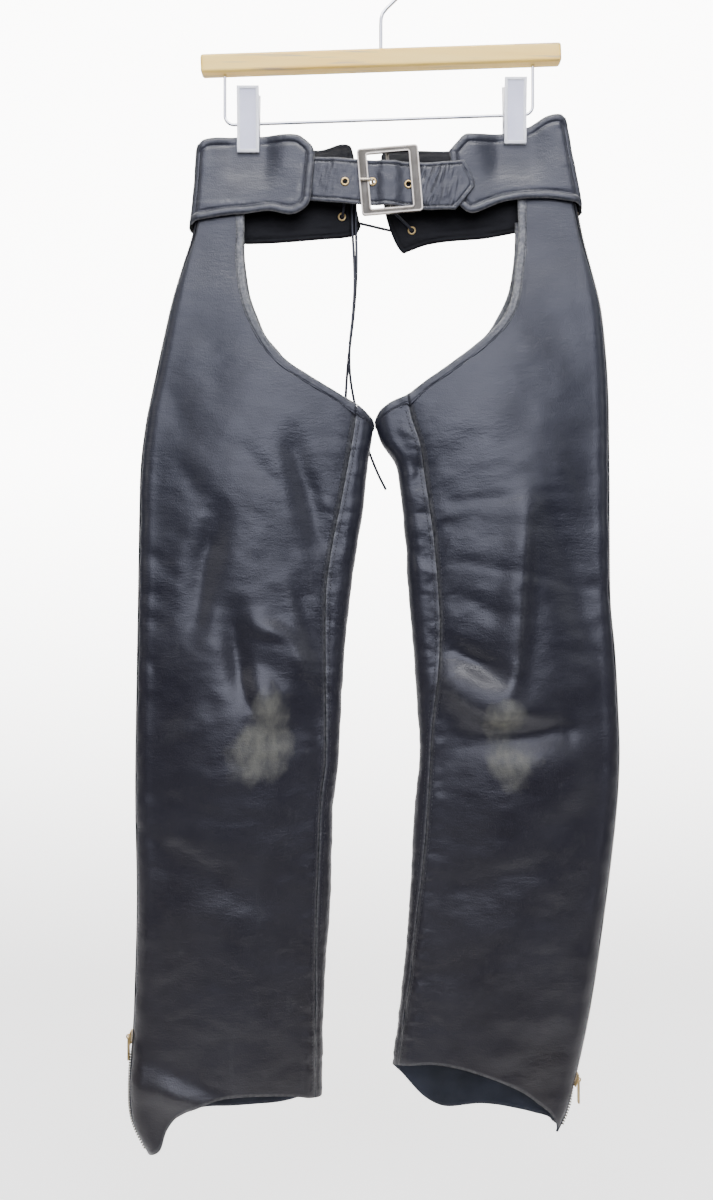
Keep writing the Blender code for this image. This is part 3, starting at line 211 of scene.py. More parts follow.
# Sharper creases on those folds: both ends, the reach to either side and the height.
CREASES = {
    "front L": (
        (-131, 491, -101, 530, 5, -1.3), (-88, 491, -70, 530, 5, -1.5), (-70, 530, -62, 578, 5, -1.4),
        (-163, 559, -179, 608, 5, -1.6), (-179, 608, -182, 656, 5, -1.4), (-147, 665, -136, 733, 5, -1.9),
        (-121, 665, -92, 673, 4, 1.5), (-92, 673, -70, 711, 4, 1.6), (-118, 676, -92, 684, 5, -1.5),
        (-92, 626, -74, 695, 4, 1.1), (-82, 625, -65, 690, 5, -1.2), (-221, 778, -179, 757, 6, 1.3),
        (-236, 592, -214, 600, 4, -1.1), (-238, 626, -218, 640, 4, -1.0), (-240, 655, -216, 662, 4, -1.2),
        (-241, 690, -222, 712, 4, -1.1), (-243, 735, -226, 741, 4, -1.1), (-130, 760, -90, 770, 6, -1.2),
        (-200, 500, -176, 540, 6, -1.0), (-215, 420, -190, 470, 8, -1.0), (-110, 560, -96, 610, 6, -1.0),
        (-227, 1113, -163, 1136, 5, 1.6), (-160, 1000, -90, 990, 9, -0.8),
        (-230, 1030, -170, 1010, 8, -0.9), (-205, 840, -150, 850, 8, -0.8),
        (-95, 860, -66, 846, 6, -0.9), (-170, 380, -158, 440, 9, -1.0),
        (-64, 760, -60, 830, 4, -1.2), (-75, 720, -60, 742, 4, -1.1), (-240, 870, -215, 880, 5, -0.8),
    ),
    "front R": (
        (142, 555, 140, 617, 4, 1.4), (140, 617, 132, 704, 4, 1.8), (132, 704, 124, 729, 4, 1.6),
        (149, 570, 143, 700, 6, -1.4), (62, 714, 80, 737, 4, 1.9), (80, 737, 107, 753, 4, 2.2),
        (107, 753, 134, 749, 4, 2.0), (82, 766, 183, 763, 6, -2.2), (72, 687, 115, 714, 5, -1.6),
        (99, 652, 128, 654, 5, -1.3), (56, 570, 90, 557, 5, -1.1), (76, 600, 223, 630, 3, -0.8),
        (56, 543, 185, 530, 3, -0.8), (70, 633, 110, 650, 5, -0.9), (190, 690, 226, 700, 5, -1.0),
        (180, 745, 228, 735, 6, -1.1), (60, 800, 120, 812, 7, -1.0), (150, 430, 120, 500, 9, -1.0),
        (190, 480, 205, 560, 8, -1.0), (95, 470, 70, 500, 7, -0.9), (60, 880, 110, 868, 7, -0.8),
        (140, 960, 196, 940, 8, -0.8), (40, 1010, 90, 1000, 8, -0.8), (150, 860, 214, 850, 7, -0.8),
        (205, 620, 224, 625, 4, -0.9), (160, 340, 185, 400, 9, -1.0), (175, 1050, 195, 1070, 6, 1.0),
    ),
    "back L": (
        (-200, 650, -120, 690, 5, 1.6), (-180, 765, -90, 735, 5, -1.8), (-160, 500, -125, 560, 6, -1.4),
        (-215, 720, -150, 745, 5, -1.3), (-130, 700, -80, 715, 5, -1.4), (-230, 830, -170, 815, 6, -1.0),
        (-100, 600, -70, 640, 5, -1.2), (-200, 440, -180, 520, 7, -1.2), (-215, 900, -120, 920, 8, -0.9),
        (-230, 1020, -150, 1040, 8, -1.0), (-120, 820, -70, 800, 6, -1.0), (-110, 1070, -70, 1050, 6, -0.9),
    ),
    "back R": (
        (190, 660, 100, 700, 5, 1.6), (190, 775, 95, 745, 5, -1.8), (150, 500, 115, 570, 6, -1.4),
        (205, 730, 150, 745, 5, -1.3), (120, 700, 70, 725, 5, -1.4), (220, 840, 160, 815, 6, -1.0),
        (90, 610, 60, 640, 5, -1.2), (200, 450, 180, 520, 7, -1.2), (190, 920, 110, 900, 8, -0.9),
        (180, 1020, 100, 1040, 8, -1.0), (105, 820, 55, 800, 6, -1.0), (90, 1070, 40, 1050, 6, -0.9),
        (46, 470, 34, 540, 4, -1.6), (24, 470, 48, 490, 4, 1.4), (20, 500, 50, 512, 4, -1.5),
        (24, 530, 52, 540, 4, 1.2), (28, 556, 52, 550, 4, -1.3), (30, 590, 54, 600, 4, -1.2),
    ),
}

LEG_COLUMNS = {"front": 20, "back": 24}
LEG_ROWS = 250
LEG_SEEDS = {"front L": 3.1, "front R": 7.7, "back L": 12.3, "back R": 18.9}
OPENING_STEPS = {"front": 13, "back": 19}
OPENING_CROWDING = {"front": 1.0, "back": 1.5}
FOOT_CROWDING = {"front": 0.35, "back": 0.5}
FINE_STEPS = 4

ZIP_SLIDER_DROP = {"L": 1078, "R": 1120}
ZIP_PARTS_BY = 9
ZIP_PARTS_SLOPE = 0.28
ZIP_PARTS_REACH = 30
ZIP_TAPE_START = 0.45
TOOTH_PITCH = 2.6
TOOTH_REACH = 0.9  # from the middle of the zip to the teeth's middle

STITCH_PITCH = 3.6
LEG_STITCH_PITCH = 3.8
STRAP_STITCH_PITCH = 3.2
INSEAM_STITCH_INSET = 4.0
ZIP_STITCH_INSET = 5.5
STRAP_STITCH_INSET = 4.0
YOKE_STITCH_INSET = 8.0
BINDING_STITCH_SHARE = 0.82  # of the way across the binding

STRAP = (
    (-77, 193.5, 236.5, None), (-66, 194, 238, None), (-54, 195, 239.5, -7.4), (-44, 195.5, 240.5, -8.7),
    (-30, 197, 242, -8.95), (-12, 198.5, 243.5, -8.95), (-4, 199, 244, -9.3), (2, 199.4, 244.4, -12.3),
    (15, 200, 245, -12.3), (21.5, 200.4, 245.6, -9.5), (36, 201, 247, -8.95), (46, 201.2, 248.5, -9.4),
    (58, 201.3, 249, -12.4), (66, 201.2, 249.4, None), (74, 201, 249.5, None), (82, 200, 240.5, None),
    (88, 209.5, 233, None), (93, 221, 226, None),
)
STRAP_EYELETS = ((-36, 220.3), (-8.6, 220.7), (27.5, 223.2))
BUCKLE_STRAP_DROPS = (203, 242)
BUCKLE_X = 8.7
BUCKLE_DROP = 220.3
BUCKLE_Y = -13.5
BUCKLE_WIDTH = 61
BUCKLE_HEIGHT = 66
BUCKLE_THICKNESS = 4
BUCKLE_SIDE_BAR = 9.5
BUCKLE_END_BAR = 5.5
BUCKLE_TILT = math.radians(4.9)
BUCKLE_BAR_Y = -6.5
BUCKLE_BAR_RADIUS = 1.6
BACK_EYELETS = {"L": (-39.4, 247), "R": (32, 260.8)}
EYELET_HOLE_EDGE = 3.5

CLIP_WIDTH = 22
CLIP_LEVER_TOP = 33.5
CLIP_JAW_FOOT = 31
CLIP_WIRE = 1.5  # the wire's radius
CLIP_WIRE_LEFT = (-157, 159.5)
CLIP_WIRE_RIGHT = (153, 149.5)
CLIP_WIRE_CORNER = 9
BAR_DROP = 94.5
HOOK_WIRE = 1.75
HOOK_RADIUS = 20.75
HOOK_ENDS = (-50, 205)  # degrees

LACE_RADIUS = 1.4
KNOT = (-28, 9.4, 206)
LACE_HELD = (
    (-23.8, 9.4, 208.7), (-12, 11, 219), (5, 12, 235), (20, 12, 249.5), (29.2, 11.4, 258.9),
    (31.4, 13.4, 260.6), (31.4, 21, 260.8), (29.4, 23.4, 260.4), (12, 23, 258.5), (-12, 23, 253),
    (-32, 23.4, 248.2), (-38.2, 22, 247.1), (-38.8, 18, 247), (-38.8, 12.6, 246.6),
    (-38, 10.8, 243.5), (-36.5, 10.6, 232), (-34.4, 10.2, 218), (-32.1, 9.4, 208.8),
)
LACE_ENDS = {
    "lace_end_1": (
        (-29.7, 9.6, 210.6), (-29.4, 10.4, 232), (-28.6, 10.6, 262), (-27, 11.5, 292),
        (-26.5, 13, 320), (-28.5, 16, 350), (-31.5, 19.5, 378), (-31.5, 24, 402), (-28.5, 30, 424),
        (-23.5, 33.5, 446), (-17.5, 33.6, 466), (-10.5, 32.5, 487), (-2, 31, 508), (6, 30, 524),
    ),
    "lace_end_2": (
        (-26.3, 11.2, 210.6), (-25.6, 12.4, 232), (-25, 13.2, 262), (-24.4, 14.2, 292),
        (-25.4, 17, 320), (-28, 20.5, 350), (-31.5, 24, 378), (-34, 28.6, 402), (-35.5, 32.6, 424),
        (-36.5, 34, 446), (-37, 34, 470), (-37, 33.6, 494), (-36.5, 33.2, 516),
    ),
}

# The camera stands where the photograph was taken from, level with the middle of the chaps.
CAMERA_PLACE = (-0.0245, -1.108, -0.638)
CAMERA_LENS = 33
FLOOR_LEVEL = -1.36


def blend(a, b, share):
    return a + (b - a) * share


def ease(low, high, value):
    """Rises smoothly from 0 at low to 1 at high."""
    share = np.clip((np.asarray(value, float) - low) / (high - low), 0.0, 1.0)
    return share * share * (3 - 2 * share)


def bell(value, middle, reach):
    """1 at the middle, falling off smoothly to either side."""
    return np.exp(-((value - middle) / reach) ** 2)


def rounded(distance, radius, least):
    """The share of a wall's thickness near an edge that is rolled to a radius."""
    share = np.sqrt(np.clip(1 - (1 - distance / radius) ** 2, least, 1))
    return np.where(distance > radius, 1.0, share)


def lengths_along(points):
    """The distance along a line of points, from its first point to each one."""
    return np.concatenate([[0.0], np.cumsum(np.linalg.norm(np.diff(points, axis=0), axis=1))])


def read_line(points, lengths, at):
    """Points of a line, read at distances along it."""
    return np.stack([np.interp(at, lengths, column) for column in np.transpose(points)], axis=1)


def hem_end(side, face, at_zip):
    """The drop at one end of a panel's hem, which runs from the zip in front and to it behind."""
    return HEMS[face + " " + side][0 if (face == "front") == at_zip else -1][1]


def read_table(table, at, column=1):
    """Reads one column of a table at values of its first column, on a smooth curve."""
    keys = np.array([row[0] for row in table], float)
    values = np.array([row[column] for row in table], float)
    last = len(keys) - 1
    before = np.maximum(np.arange(last + 1) - 1, 0)
    after = np.minimum(np.arange(last + 1) + 1, last)
    slopes = (values[after] - values[before]) / (keys[after] - keys[before])
    at = np.clip(at, keys[0], keys[-1])
    i = np.clip(np.searchsorted(keys, at, side="right") - 1, 0, last - 1)
    step = keys[i + 1] - keys[i]
    t = (at - keys[i]) / step
    rise = slopes[i] * step * t * (1 - t) ** 2 - slopes[i + 1] * step * t * t * (1 - t)
    return values[i] * (1 - t) ** 2 * (1 + 2 * t) + values[i + 1] * t * t * (3 - 2 * t) + rise


def section(side, drop, tucked):
    """A leg's cross section at a drop; tucked is drawn in where the leg lies under its yoke."""
    cut = {}
    for column, name in enumerate(SECTION_COLUMNS[1:], start=1):
        cut[name] = read_table(SECTIONS[side], drop, column)
    inset = TUCK * (1 - ease(*TUCK_ENDS, drop)) if tucked else 0.0
    cut["inset"] = inset
    cut["outer"] = cut["outer"] - SIDES[side] * inset
    for name in ("roll", "front", "back"):
        cut[name] = cut[name] - inset
    cut["width"] = abs(cut["inner"] - cut["outer"])
    cut["girth"] = (math.pi - 2) * cut["roll"] + cut["width"]
    return cut


def fold_height(folds, x, drop):
    """The height of a list of folds at points of a leg."""
    total = np.zeros(np.shape(x))
    for x0, drop0, x1, drop1, reach, height in folds:
        run_x = x1 - x0
        run_drop = drop1 - drop0
        along = ((x - x0) * run_x + (drop - drop0) * run_drop) / (run_x ** 2 + run_drop ** 2)
        along = np.clip(along, 0.0, 1.0)
        away = np.hypot(x - x0 - run_x * along, drop - drop0 - run_drop * along) / reach
        total = total + height * np.exp(-away * away) * (0.55 + 0.45 * np.sin(math.pi * along))
    return total


def zip_parting(side, drop):
    """How far each half of an open zip stands off the middle, below the slider."""
    below = np.maximum(drop - ZIP_SLIDER_DROP[side], 0.0)
    return ZIP_PARTS_BY * (1 - np.exp(-ZIP_PARTS_SLOPE * below / ZIP_PARTS_BY))


def surface(side, around, drop, tucked=True, relief=None):
    """Points of the leg's or the yoke's middle surface, as an array that ends in x, y, z.

    around runs from 0 at the outer fold over the front to 1 at the inner fold, and over the back
    to 2 at the outer fold again. relief is added to the surface, outwards.
    """
    around, drop = np.broadcast_arrays(np.asarray(around, float), np.asarray(drop, float))
    cut = section(side, drop, tucked)
    roll = cut["roll"]
    width = cut["width"]
    front = around <= 1
    travel = np.minimum(around, 2 - around) * cut["girth"]
    arc = math.pi * roll / 2
    flat = roll + travel - arc
    outer_turn = np.clip(travel / roll, -math.pi / 2, math.pi / 2)
    inner_turn = np.clip((flat - width + roll) / roll, 0.0, math.pi / 2)
    in_outer = travel < arc
    in_inner = (~in_outer) & (flat > width - roll) & (drop >= LEG_CLOSES_BELOW)
    inward = np.where(in_outer, roll * (1 - np.cos(outer_turn)), flat)
    inward = np.where(in_inner, width - roll + roll * np.sin(inner_turn), inward)
    rounding = np.where(in_outer, np.sin(outer_turn), 1.0)
    rounding = np.where(in_inner, np.cos(inner_turn), rounding)
    across = np.clip((inward - width / 2) / (width / 2 - roll), -1.0, 1.0)
    leg_bulge = (1 - across * across) ** 1.5
    waist_bulge = ease(0, 1, inward / width)
    bulge = blend(waist_bulge, leg_bulge, ease(*WAIST_ENDS, drop))
    depth = roll + (np.where(front, cut["front"], cut["back"]) - roll) * bulge
    x = cut["outer"] - SIDES[side] * inward
    beyond = np.maximum(abs(x - CLIP_X[side]) - PINCH_HALF_WIDTH, 0.0) / PINCH_FADE
    pinch = np.exp(-beyond * beyond) * (1 - ease(*PINCH_ENDS, drop))
    depth = blend(depth + cut["inset"], PINCH_DEPTH, pinch) - cut["inset"]
    if tucked:
        depth = depth + np.where(
            front,
            fold_height(FOLDS["front " + side], x, drop),
            fold_height(FOLDS["back " + side], x, drop),
        )
    parting = zip_parting(side, drop) * np.exp(-travel / ZIP_PARTS_REACH)
    if relief is not None:
        depth = depth + relief * np.where(in_outer | in_inner, np.maximum(rounding, 0.25), 1.0)
        outer_step = np.where(in_outer, np.cos(outer_turn), 0.0)
        inner_step = np.where(in_inner, np.sin(inner_turn), 0.0)
        x = x + SIDES[side] * relief * (outer_step - inner_step) * 0.8
    y = depth * rounding + parting
    return np.stack([x, np.where(front, -y, y), -drop], axis=-1)


def around_at(side, x, drop, face="front", tucked=True):
    """The around value of the front's or the back's point at a given x."""
    cut = section(side, drop, tucked)
    roll = cut["roll"]
    width = cut["width"]
    inward = np.clip(abs(x - cut["outer"]), 0.0, width)
    outer_part = roll * np.arccos(np.clip(1 - inward / roll, -1.0, 1.0))
    middle_part = math.pi * roll / 2 + inward - roll
    turn = np.arcsin(np.clip((inward - width + roll) / roll, -1.0, 1.0))
    inner_part = math.pi * roll / 2 + width - 2 * roll + roll * turn
    closed = (inward >= width - roll) & (np.asarray(drop) >= LEG_CLOSES_BELOW)
    travel = np.where(inward < roll, outer_part, np.where(closed, inner_part, middle_part))
    share = travel / cut["girth"]
    return share if face == "front" else 2 - share


def inseam_around(side, drop):
    return around_at(side, read_table(INSEAM[side], drop), drop)


def panel_around(side, face, share, drop):
    """Turns a share of a panel's width into around; share 0 is the zip in front, the inseam behind."""
    girth = section(side, drop, True)["girth"]
    seam_gap = SEAM_HALF_GAP / girth
    inseam = inseam_around(side, drop)
    zip_edge = (ZIP_HALF_WIDTH + 2.4 * SEAM_HALF_GAP) / girth
    if face == "front":
        return blend(zip_edge, inseam - seam_gap, share)
    return blend(inseam + seam_gap, 2 - zip_edge, share)


def panel_share(side, face, around, drop):
    start = panel_around(side, face, 0, drop)
    end = panel_around(side, face, 1, drop)
    return np.clip((around - start) / (end - start), 0.0, 1.0)


def opening_edge(side, face):
    """The opening's free edge on one panel, as (around, drop) points from its inseam end."""
    front = [(float(around_at(side, x, drop)), drop) for x, drop in OPENING_FRONT[side]]
    if face == "front":
        return front[::-1]
    crotch = [(float(around_at(side, x, drop)), drop) for x, drop in OPENING_CROTCH[side][:-1]]
    back = [(float(around_at(side, x, drop, "back")), drop) for x, drop in OPENING_BACK[side][1:]]
    return crotch + [(1.0, OPENING_CROTCH[side][-1][1])] + back


def step_over(side, point, move):
    """Moves an (around, drop) point over the surface by a small step in space."""
    around, drop = point
    small = 0.002
    spots = surface(side, [around, around + small, around - small, around], [drop, drop, drop, drop + 1])
    slopes = np.array([(spots[1] - spots[2]) / (2 * small), spots[3] - spots[0]]).T
    change = np.linalg.lstsq(slopes, np.array(list(move)), rcond=None)[0]
    return around + change[0], drop + change[1]


def edge_inside(side, edge, width):
    """The line that runs at a distance inside an edge, over the surface."""
    inside = []
    for i, point in enumerate(edge):
        before = Vector(surface(side, *edge[max(i - 1, 0)]))
        after = Vector(surface(side, *edge[min(i + 1, len(edge) - 1)]))
        along = (after - before).normalized()
        down = Vector((0, 0, -1))
        normal = Vector((0, -1, 0)) if point[0] < 1.0 else Vector((0, 1, 0))
        if abs(point[0] - 1.0) * section(side, point[1], True)["girth"] < 12:
            inward = down
        else:
            inward = normal.cross(along)
            if inward.dot(down + Vector((SIDES[side], 0, 0)) * 0.9) < 0:
                inward = -inward
        around, drop = step_over(side, point, inward.normalized() * width)
        if edge[-1][0] > 1.0:
            around = max(around, float(inseam_around(side, drop)) + 0.005 * i)
        inside.append((around, drop))
    return inside


def resample(points, count, crowding=1.0):
    """Points along a line of (around, drop) points: at even steps, or crowded to its start."""
    points = np.array(points, float)
    lengths = lengths_along(points * (USUAL_GIRTH, 1))
    at = lengths[-1] * (np.arange(count + 1) / count) ** crowding
    return [tuple(p) for p in read_line(points, lengths, at)]


def smooth_points(points, steps):
    """Adds even steps between points, on a smooth curve through them."""
    p = np.array(points, float)
    p = np.vstack([2 * p[0] - p[1], p, 2 * p[-1] - p[-2]])
    result = []
    for k in range(1, len(p) - 2):
        p0, p1, p2, p3 = p[k - 1:k + 3]
        for t in np.arange(steps) / steps:
            result.append(
                0.5 * (2 * p1 + (p2 - p0) * t + (2 * p0 - 5 * p1 + 4 * p2 - p3) * t * t
                       + (3 * p1 - p0 - 3 * p2 + p3) * t ** 3)
            )
    result.append(p[-2])
    return np.array(result)


def even_route(points, spacing):
    """Points at even steps on a smooth curve through a route's own points."""
    fine = smooth_points(points, 12)
    lengths = lengths_along(fine)
    count = max(2, round(lengths[-1] / spacing))
    return read_line(fine, lengths, lengths[-1] * np.arange(count + 1) / count)


def rumple(x, drop, seed, sizes=(26, 11), heights=(0.55, 0.3), stretch=1.6):
    """Soft uneven waves: heights in millimetres at points of a leg, the same on each run."""
    x, drop = np.broadcast_arrays(x, drop)
    flat_x = np.ravel(x)
    flat_drop = np.ravel(drop)
    total = np.zeros(len(flat_x))
    for size, height in zip(sizes, heights):
        values = [
            noise.noise(Vector((a / (size * stretch), b / size, seed)))
            for a, b in zip(flat_x, flat_drop)
        ]
        total += height * np.array(values) * 2
    return total.reshape(np.shape(x))


def place_camera():
    """The camera stands at the photograph's viewing angle."""
    camera_data = bpy.data.cameras.new("camera")
    camera_data.lens = CAMERA_LENS
    camera_data.sensor_fit = "VERTICAL"
    camera_data.sensor_height = 36
    camera = bpy.data.objects.new("camera", camera_data)
    camera.location = CAMERA_PLACE
    camera.rotation_euler = (math.radians(90), 0, 0)
    bpy.context.scene.collection.objects.link(camera)
    bpy.context.scene.camera = camera


def link(name, data):
    """A new piece from its mesh or curve. All new pieces ride with the garment."""
    item = bpy.data.objects.new(name, data)
    bpy.context.scene.collection.objects.link(item)
    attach(item, "chaps")
    return item


def stands_for(node):
    """The piece takes the place of one of the part's nodes, which is hidden."""
    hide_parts(node)


def thong(name, points, radius, resolution=2):
    """A round thong or wire along points in millimetres, as a curve."""
    curve = bpy.data.curves.new(name, "CURVE")
    curve.dimensions = "3D"
    curve.bevel_depth = radius * MM
    curve.bevel_resolution = resolution
    curve.use_fill_caps = True
    spline = curve.splines.new("POLY")
    spline.points.add(len(points) - 1)
    for spot, point in zip(spline.points, points):
        spot.co = (*(np.array(point) * MM), 1)
    spline.use_smooth = True
    return tube_mesh(link(name, curve))


def only(piece):
    """Selects one piece alone and makes it the active one."""
    bpy.ops.object.select_all(action="DESELECT")
    bpy.context.view_layer.objects.active = piece
    piece.select_set(True)


def close_shell(piece, angle):
    """Joins doubled points, turns faces outwards and smooths edges under an angle in degrees."""
    only(piece)
    bpy.ops.object.mode_set(mode="EDIT")
    bpy.ops.mesh.select_all(action="SELECT")
    bpy.ops.mesh.remove_doubles(threshold=0.00001)
    bpy.ops.mesh.normals_make_consistent(inside=False)
    bpy.ops.object.mode_set(mode="OBJECT")
    bpy.ops.object.shade_smooth_by_angle(angle=math.radians(angle))
    bpy.ops.object.select_all(action="DESELECT")


def tube_mesh(piece):
    """Turns a bevelled curve into a closed mesh tube, smooth along its length."""
    only(piece)
    bpy.ops.object.convert(target="MESH")
    piece = bpy.context.active_object
    close_shell(piece, 50)
    return piece


def as_points(rows):
    return [(x, y, -drop) for x, y, drop in rows]


# The camera and the lace's two free ends come first.
place_camera()
lace_pieces = []
for node, rows in LACE_ENDS.items():
    route = even_route(as_points(rows), 7.5)
    lace_end = thong(node + "_thong", route, LACE_RADIUS, 4)
    stands_for(node)
    lace_pieces.append(lace_end)


# Materials: shared effects are node groups, built once.


class Nodes:
    """Adds shader nodes one by one and joins them."""

    def __init__(self, tree):
        self.tree = tree

    def add(self, kind, **settings):
        node = self.tree.nodes.new(kind)
        for name, value in settings.items():
            if hasattr(node, name):
                setattr(node, name, value)
            else:
                self.feed(value, node.inputs[name.replace("_", " ")])
        return node

    def join(self, source, target):
        self.tree.links.new(source, target)

    def feed(self, value, target):
        """Gives an input a value, or joins it to the output that the value is."""
        if isinstance(value, bpy.types.NodeSocket):
            self.join(value, target)
        elif hasattr(value, "__len__") and len(value) < len(target.default_value):
            target.default_value = (*value, 1)
        else:
            target.default_value = value


def new_material(name, colour, roughness, metallic=0.0):
    material = bpy.data.materials.new(name)
    material.use_nodes = True
    shader = material.node_tree.nodes["Principled BSDF"]
    shader.inputs["Base Color"].default_value = (*colour, 1)
    shader.inputs["Roughness"].default_value = roughness
    shader.inputs["Metallic"].default_value = metallic
    return material, Nodes(material.node_tree), shader


def new_group(name, takes, gives):
    """A node group: takes holds its inputs' names and usual values, gives its outputs' kinds."""
    tree = bpy.data.node_groups.new(name, "ShaderNodeTree")
    for socket, value in takes.items():
        kind = "Float"
        if hasattr(value, "__len__"):
            kind = "Color" if len(value) == 4 else "Vector"
        entry = tree.interface.new_socket(socket, in_out="INPUT", socket_type="NodeSocket" + kind)
        entry.default_value = value
    for socket, kind in gives.items():
        tree.interface.new_socket(socket, in_out="OUTPUT", socket_type="NodeSocket" + kind)
    nodes = Nodes(tree)
    return nodes, nodes.add("NodeGroupInput").outputs, nodes.add("NodeGroupOutput").inputs


def ramp(nodes, source, stops):
    """A colour ramp from a list of (place, value or colour)."""
    node = nodes.add("ShaderNodeValToRGB", Fac=source)
    elements = node.color_ramp.elements
    while len(elements) < len(stops):
        elements.new(0.5)
    for element, (place, value) in zip(elements, stops):
        element.position = place
        element.color = (*value, 1) if hasattr(value, "__len__") else (value, value, value, 1)
    return node.outputs["Color"]


def mix(nodes, share, a, b, kind="MIX"):
    node = nodes.add("ShaderNodeMix", data_type="RGBA", blend_type=kind, Factor=share)
    nodes.feed(a, node.inputs[6])
    nodes.feed(b, node.inputs[7])
    return node.outputs[2]


def maths(nodes, operation, *values):
    node = nodes.add("ShaderNodeMath", operation=operation)
    for value, socket in zip(values, node.inputs):
        nodes.feed(value, socket)
    return node.outputs[0]


def object_noise(nodes, scale, detail=3.0, stretch=(1, 1, 1), rough=0.5):
    """Noise on the piece's own coordinates, in metres."""
    place = nodes.add("ShaderNodeTexCoord").outputs["Object"]
    mapping = nodes.add("ShaderNodeMapping", Vector=place, Scale=stretch)
    texture = nodes.add(
        "ShaderNodeTexNoise", Vector=mapping.outputs["Vector"], Scale=scale, Detail=detail, Roughness=rough,
    )
    return texture.outputs["Fac"]


def bump(nodes, height, strength, distance, normal=None):
    node = nodes.add("ShaderNodeBump", Height=height, Strength=strength, Distance=distance)
    if normal is not None:
        nodes.join(normal, node.inputs["Normal"])
    return node.outputs["Normal"]


def worn_patch(nodes, centre, radii, turn):
    """A soft uneven spot round a place on the front, brushed out by noise."""
    place = nodes.add("ShaderNodeTexCoord").outputs["Object"]
    mapping = nodes.add(
        "ShaderNodeMapping", vector_type="TEXTURE",
        Vector=place, Location=centre, Rotation=(0, turn, 0), Scale=radii,
    )
    length = nodes.add("ShaderNodeVectorMath", operation="LENGTH")
    nodes.join(mapping.outputs["Vector"], length.inputs[0])
    cloud = object_noise(nodes, 30, 5, (1, 1, 0.75), 0.55)
    spread = maths(nodes, "MULTIPLY_ADD", cloud, 1.9, -0.95)
    edge = maths(nodes, "ADD", length.outputs["Value"], spread)
    return ramp(nodes, edge, ((0.2, 1.0), (0.6, 0.62), (0.85, 0.2), (1.0, 0.0)))


# Rubbed spots on the knees: the middle, the reach along each axis and the turn.
KNEE_PATCHES = (
    ((-0.107, -0.05, -0.743), (0.024, 0.05, 0.027), 0.3),
    ((-0.114, -0.05, -0.789), (0.037, 0.05, 0.037), 0.0),
    ((0.119, -0.05, -0.757), (0.024, 0.05, 0.022), -0.3),
    ((0.129, -0.05, -0.792), (0.029, 0.05, 0.034), -0.4),
)


def make_leather_group():
    """Black grained leather: painted light makes it blue-grey and lighter above, warmer and darker below; pale where
    it is rubbed.
    """
    gives = {"Color": "Color", "Roughness": "Float", "Normal": "Vector"}
    nodes, takes, out = new_group("worn leather with painted light", {"Wear": 0.5}, gives)
    place = nodes.add("ShaderNodeTexCoord").outputs["Object"]
    split = nodes.add("ShaderNodeSeparateXYZ", Vector=place)
    # Painted light: the colour runs from blue-grey and lighter high up to warmer and darker low down.
    height = nodes.add("ShaderNodeMapRange", Value=split.outputs["Z"], From_Min=-1.15, From_Max=-0.35)
    painted_light_tint = ramp(nodes, height.outputs["Result"], (
        (0.0, (0.0062, 0.0038, 0.0048)), (0.45, (0.008, 0.007, 0.0125)), (1.0, (0.011, 0.0125, 0.021)),
    ))
    cloud = ramp(nodes, object_noise(nodes, 9, 5, (1, 1, 0.7)), ((0.3, 0.0), (0.75, 1.0)))
    colour = mix(nodes, maths(nodes, "MULTIPLY", cloud, 0.5), painted_light_tint, (0.019, 0.019, 0.026))
    scuff = ramp(nodes, object_noise(nodes, 60, 8, (1, 1, 0.35), 0.7), ((0.60, 0.0), (0.74, 1.0)))
    colour = mix(nodes, maths(nodes, "MULTIPLY", scuff, 0.16), colour, (0.07, 0.07, 0.07))
    rub = nodes.add("ShaderNodeAttribute", attribute_name="rub").outputs["Fac"]
    speck = ramp(nodes, object_noise(nodes, 330, 4), ((0.38, 0.35), (0.62, 1.0)))
    rubbed = maths(nodes, "MULTIPLY", maths(nodes, "MULTIPLY", rub, speck), takes["Wear"])
    nodes.join(mix(nodes, rubbed, colour, (0.20, 0.20, 0.19)), out["Color"])
    nodes.join(ramp(nodes, object_noise(nodes, 24, 4), ((0.3, 0.36), (0.7, 0.50))), out["Roughness"])
    flattened = nodes.add("ShaderNodeMapping", Vector=place, Scale=(1.0, 1.0, 0.82))
    grain = nodes.add("ShaderNodeTexVoronoi", feature="F1", Vector=flattened.outputs["Vector"], Scale=760.0)
    pebble = ramp(nodes, grain.outputs["Distance"], ((0.1, 1.0), (0.75, 0.0)))
    gather = ramp(nodes, object_noise(nodes, 13, 2), ((0.35, 0.35), (0.65, 1.0)))
    wrinkle = maths(nodes, "MULTIPLY", object_noise(nodes, 120, 4, (1, 1, 3.2), 0.6), gather)
    normal = bump(nodes, object_noise(nodes, 30, 4, (0.7, 1, 1.7)), 0.3, 0.003)
    normal = bump(nodes, wrinkle, 0.42, 0.0012, normal)
    nodes.join(bump(nodes, pebble, 0.35, 0.00022, normal), out["Normal"])
    return nodes.tree


def leather_material(name, wear, patches=()):
    material, nodes, shader = new_material(name, (0.012, 0.013, 0.016), 0.42)
    worn = nodes.add("ShaderNodeGroup", node_tree=leather_group, Wear=wear)
    colour = worn.outputs["Color"]
    rough = worn.outputs["Roughness"]
    shares = [worn_patch(nodes, *patch) for patch in patches]
    if shares:
        share = shares[0]
        for other in shares[1:]:
            share = maths(nodes, "MAXIMUM", share, other)
        brushed = ramp(nodes, object_noise(nodes, 120, 5, (1, 1, 0.6)), ((0.3, 0.38), (0.66, 1.0)))
        share = maths(nodes, "MULTIPLY", share, brushed)
        colour = mix(nodes, maths(nodes, "MULTIPLY", share, 0.8), colour, (0.155, 0.152, 0.118))
        rough = mix(nodes, share, rough, (0.75, 0.75, 0.75))
    nodes.join(colour, shader.inputs["Base Color"])
    nodes.join(rough, shader.inputs["Roughness"])
    nodes.join(worn.outputs["Normal"], shader.inputs["Normal"])
    shader.inputs["Coat Weight"].default_value = 0.12
    shader.inputs["Coat Roughness"].default_value = 0.28
    return material


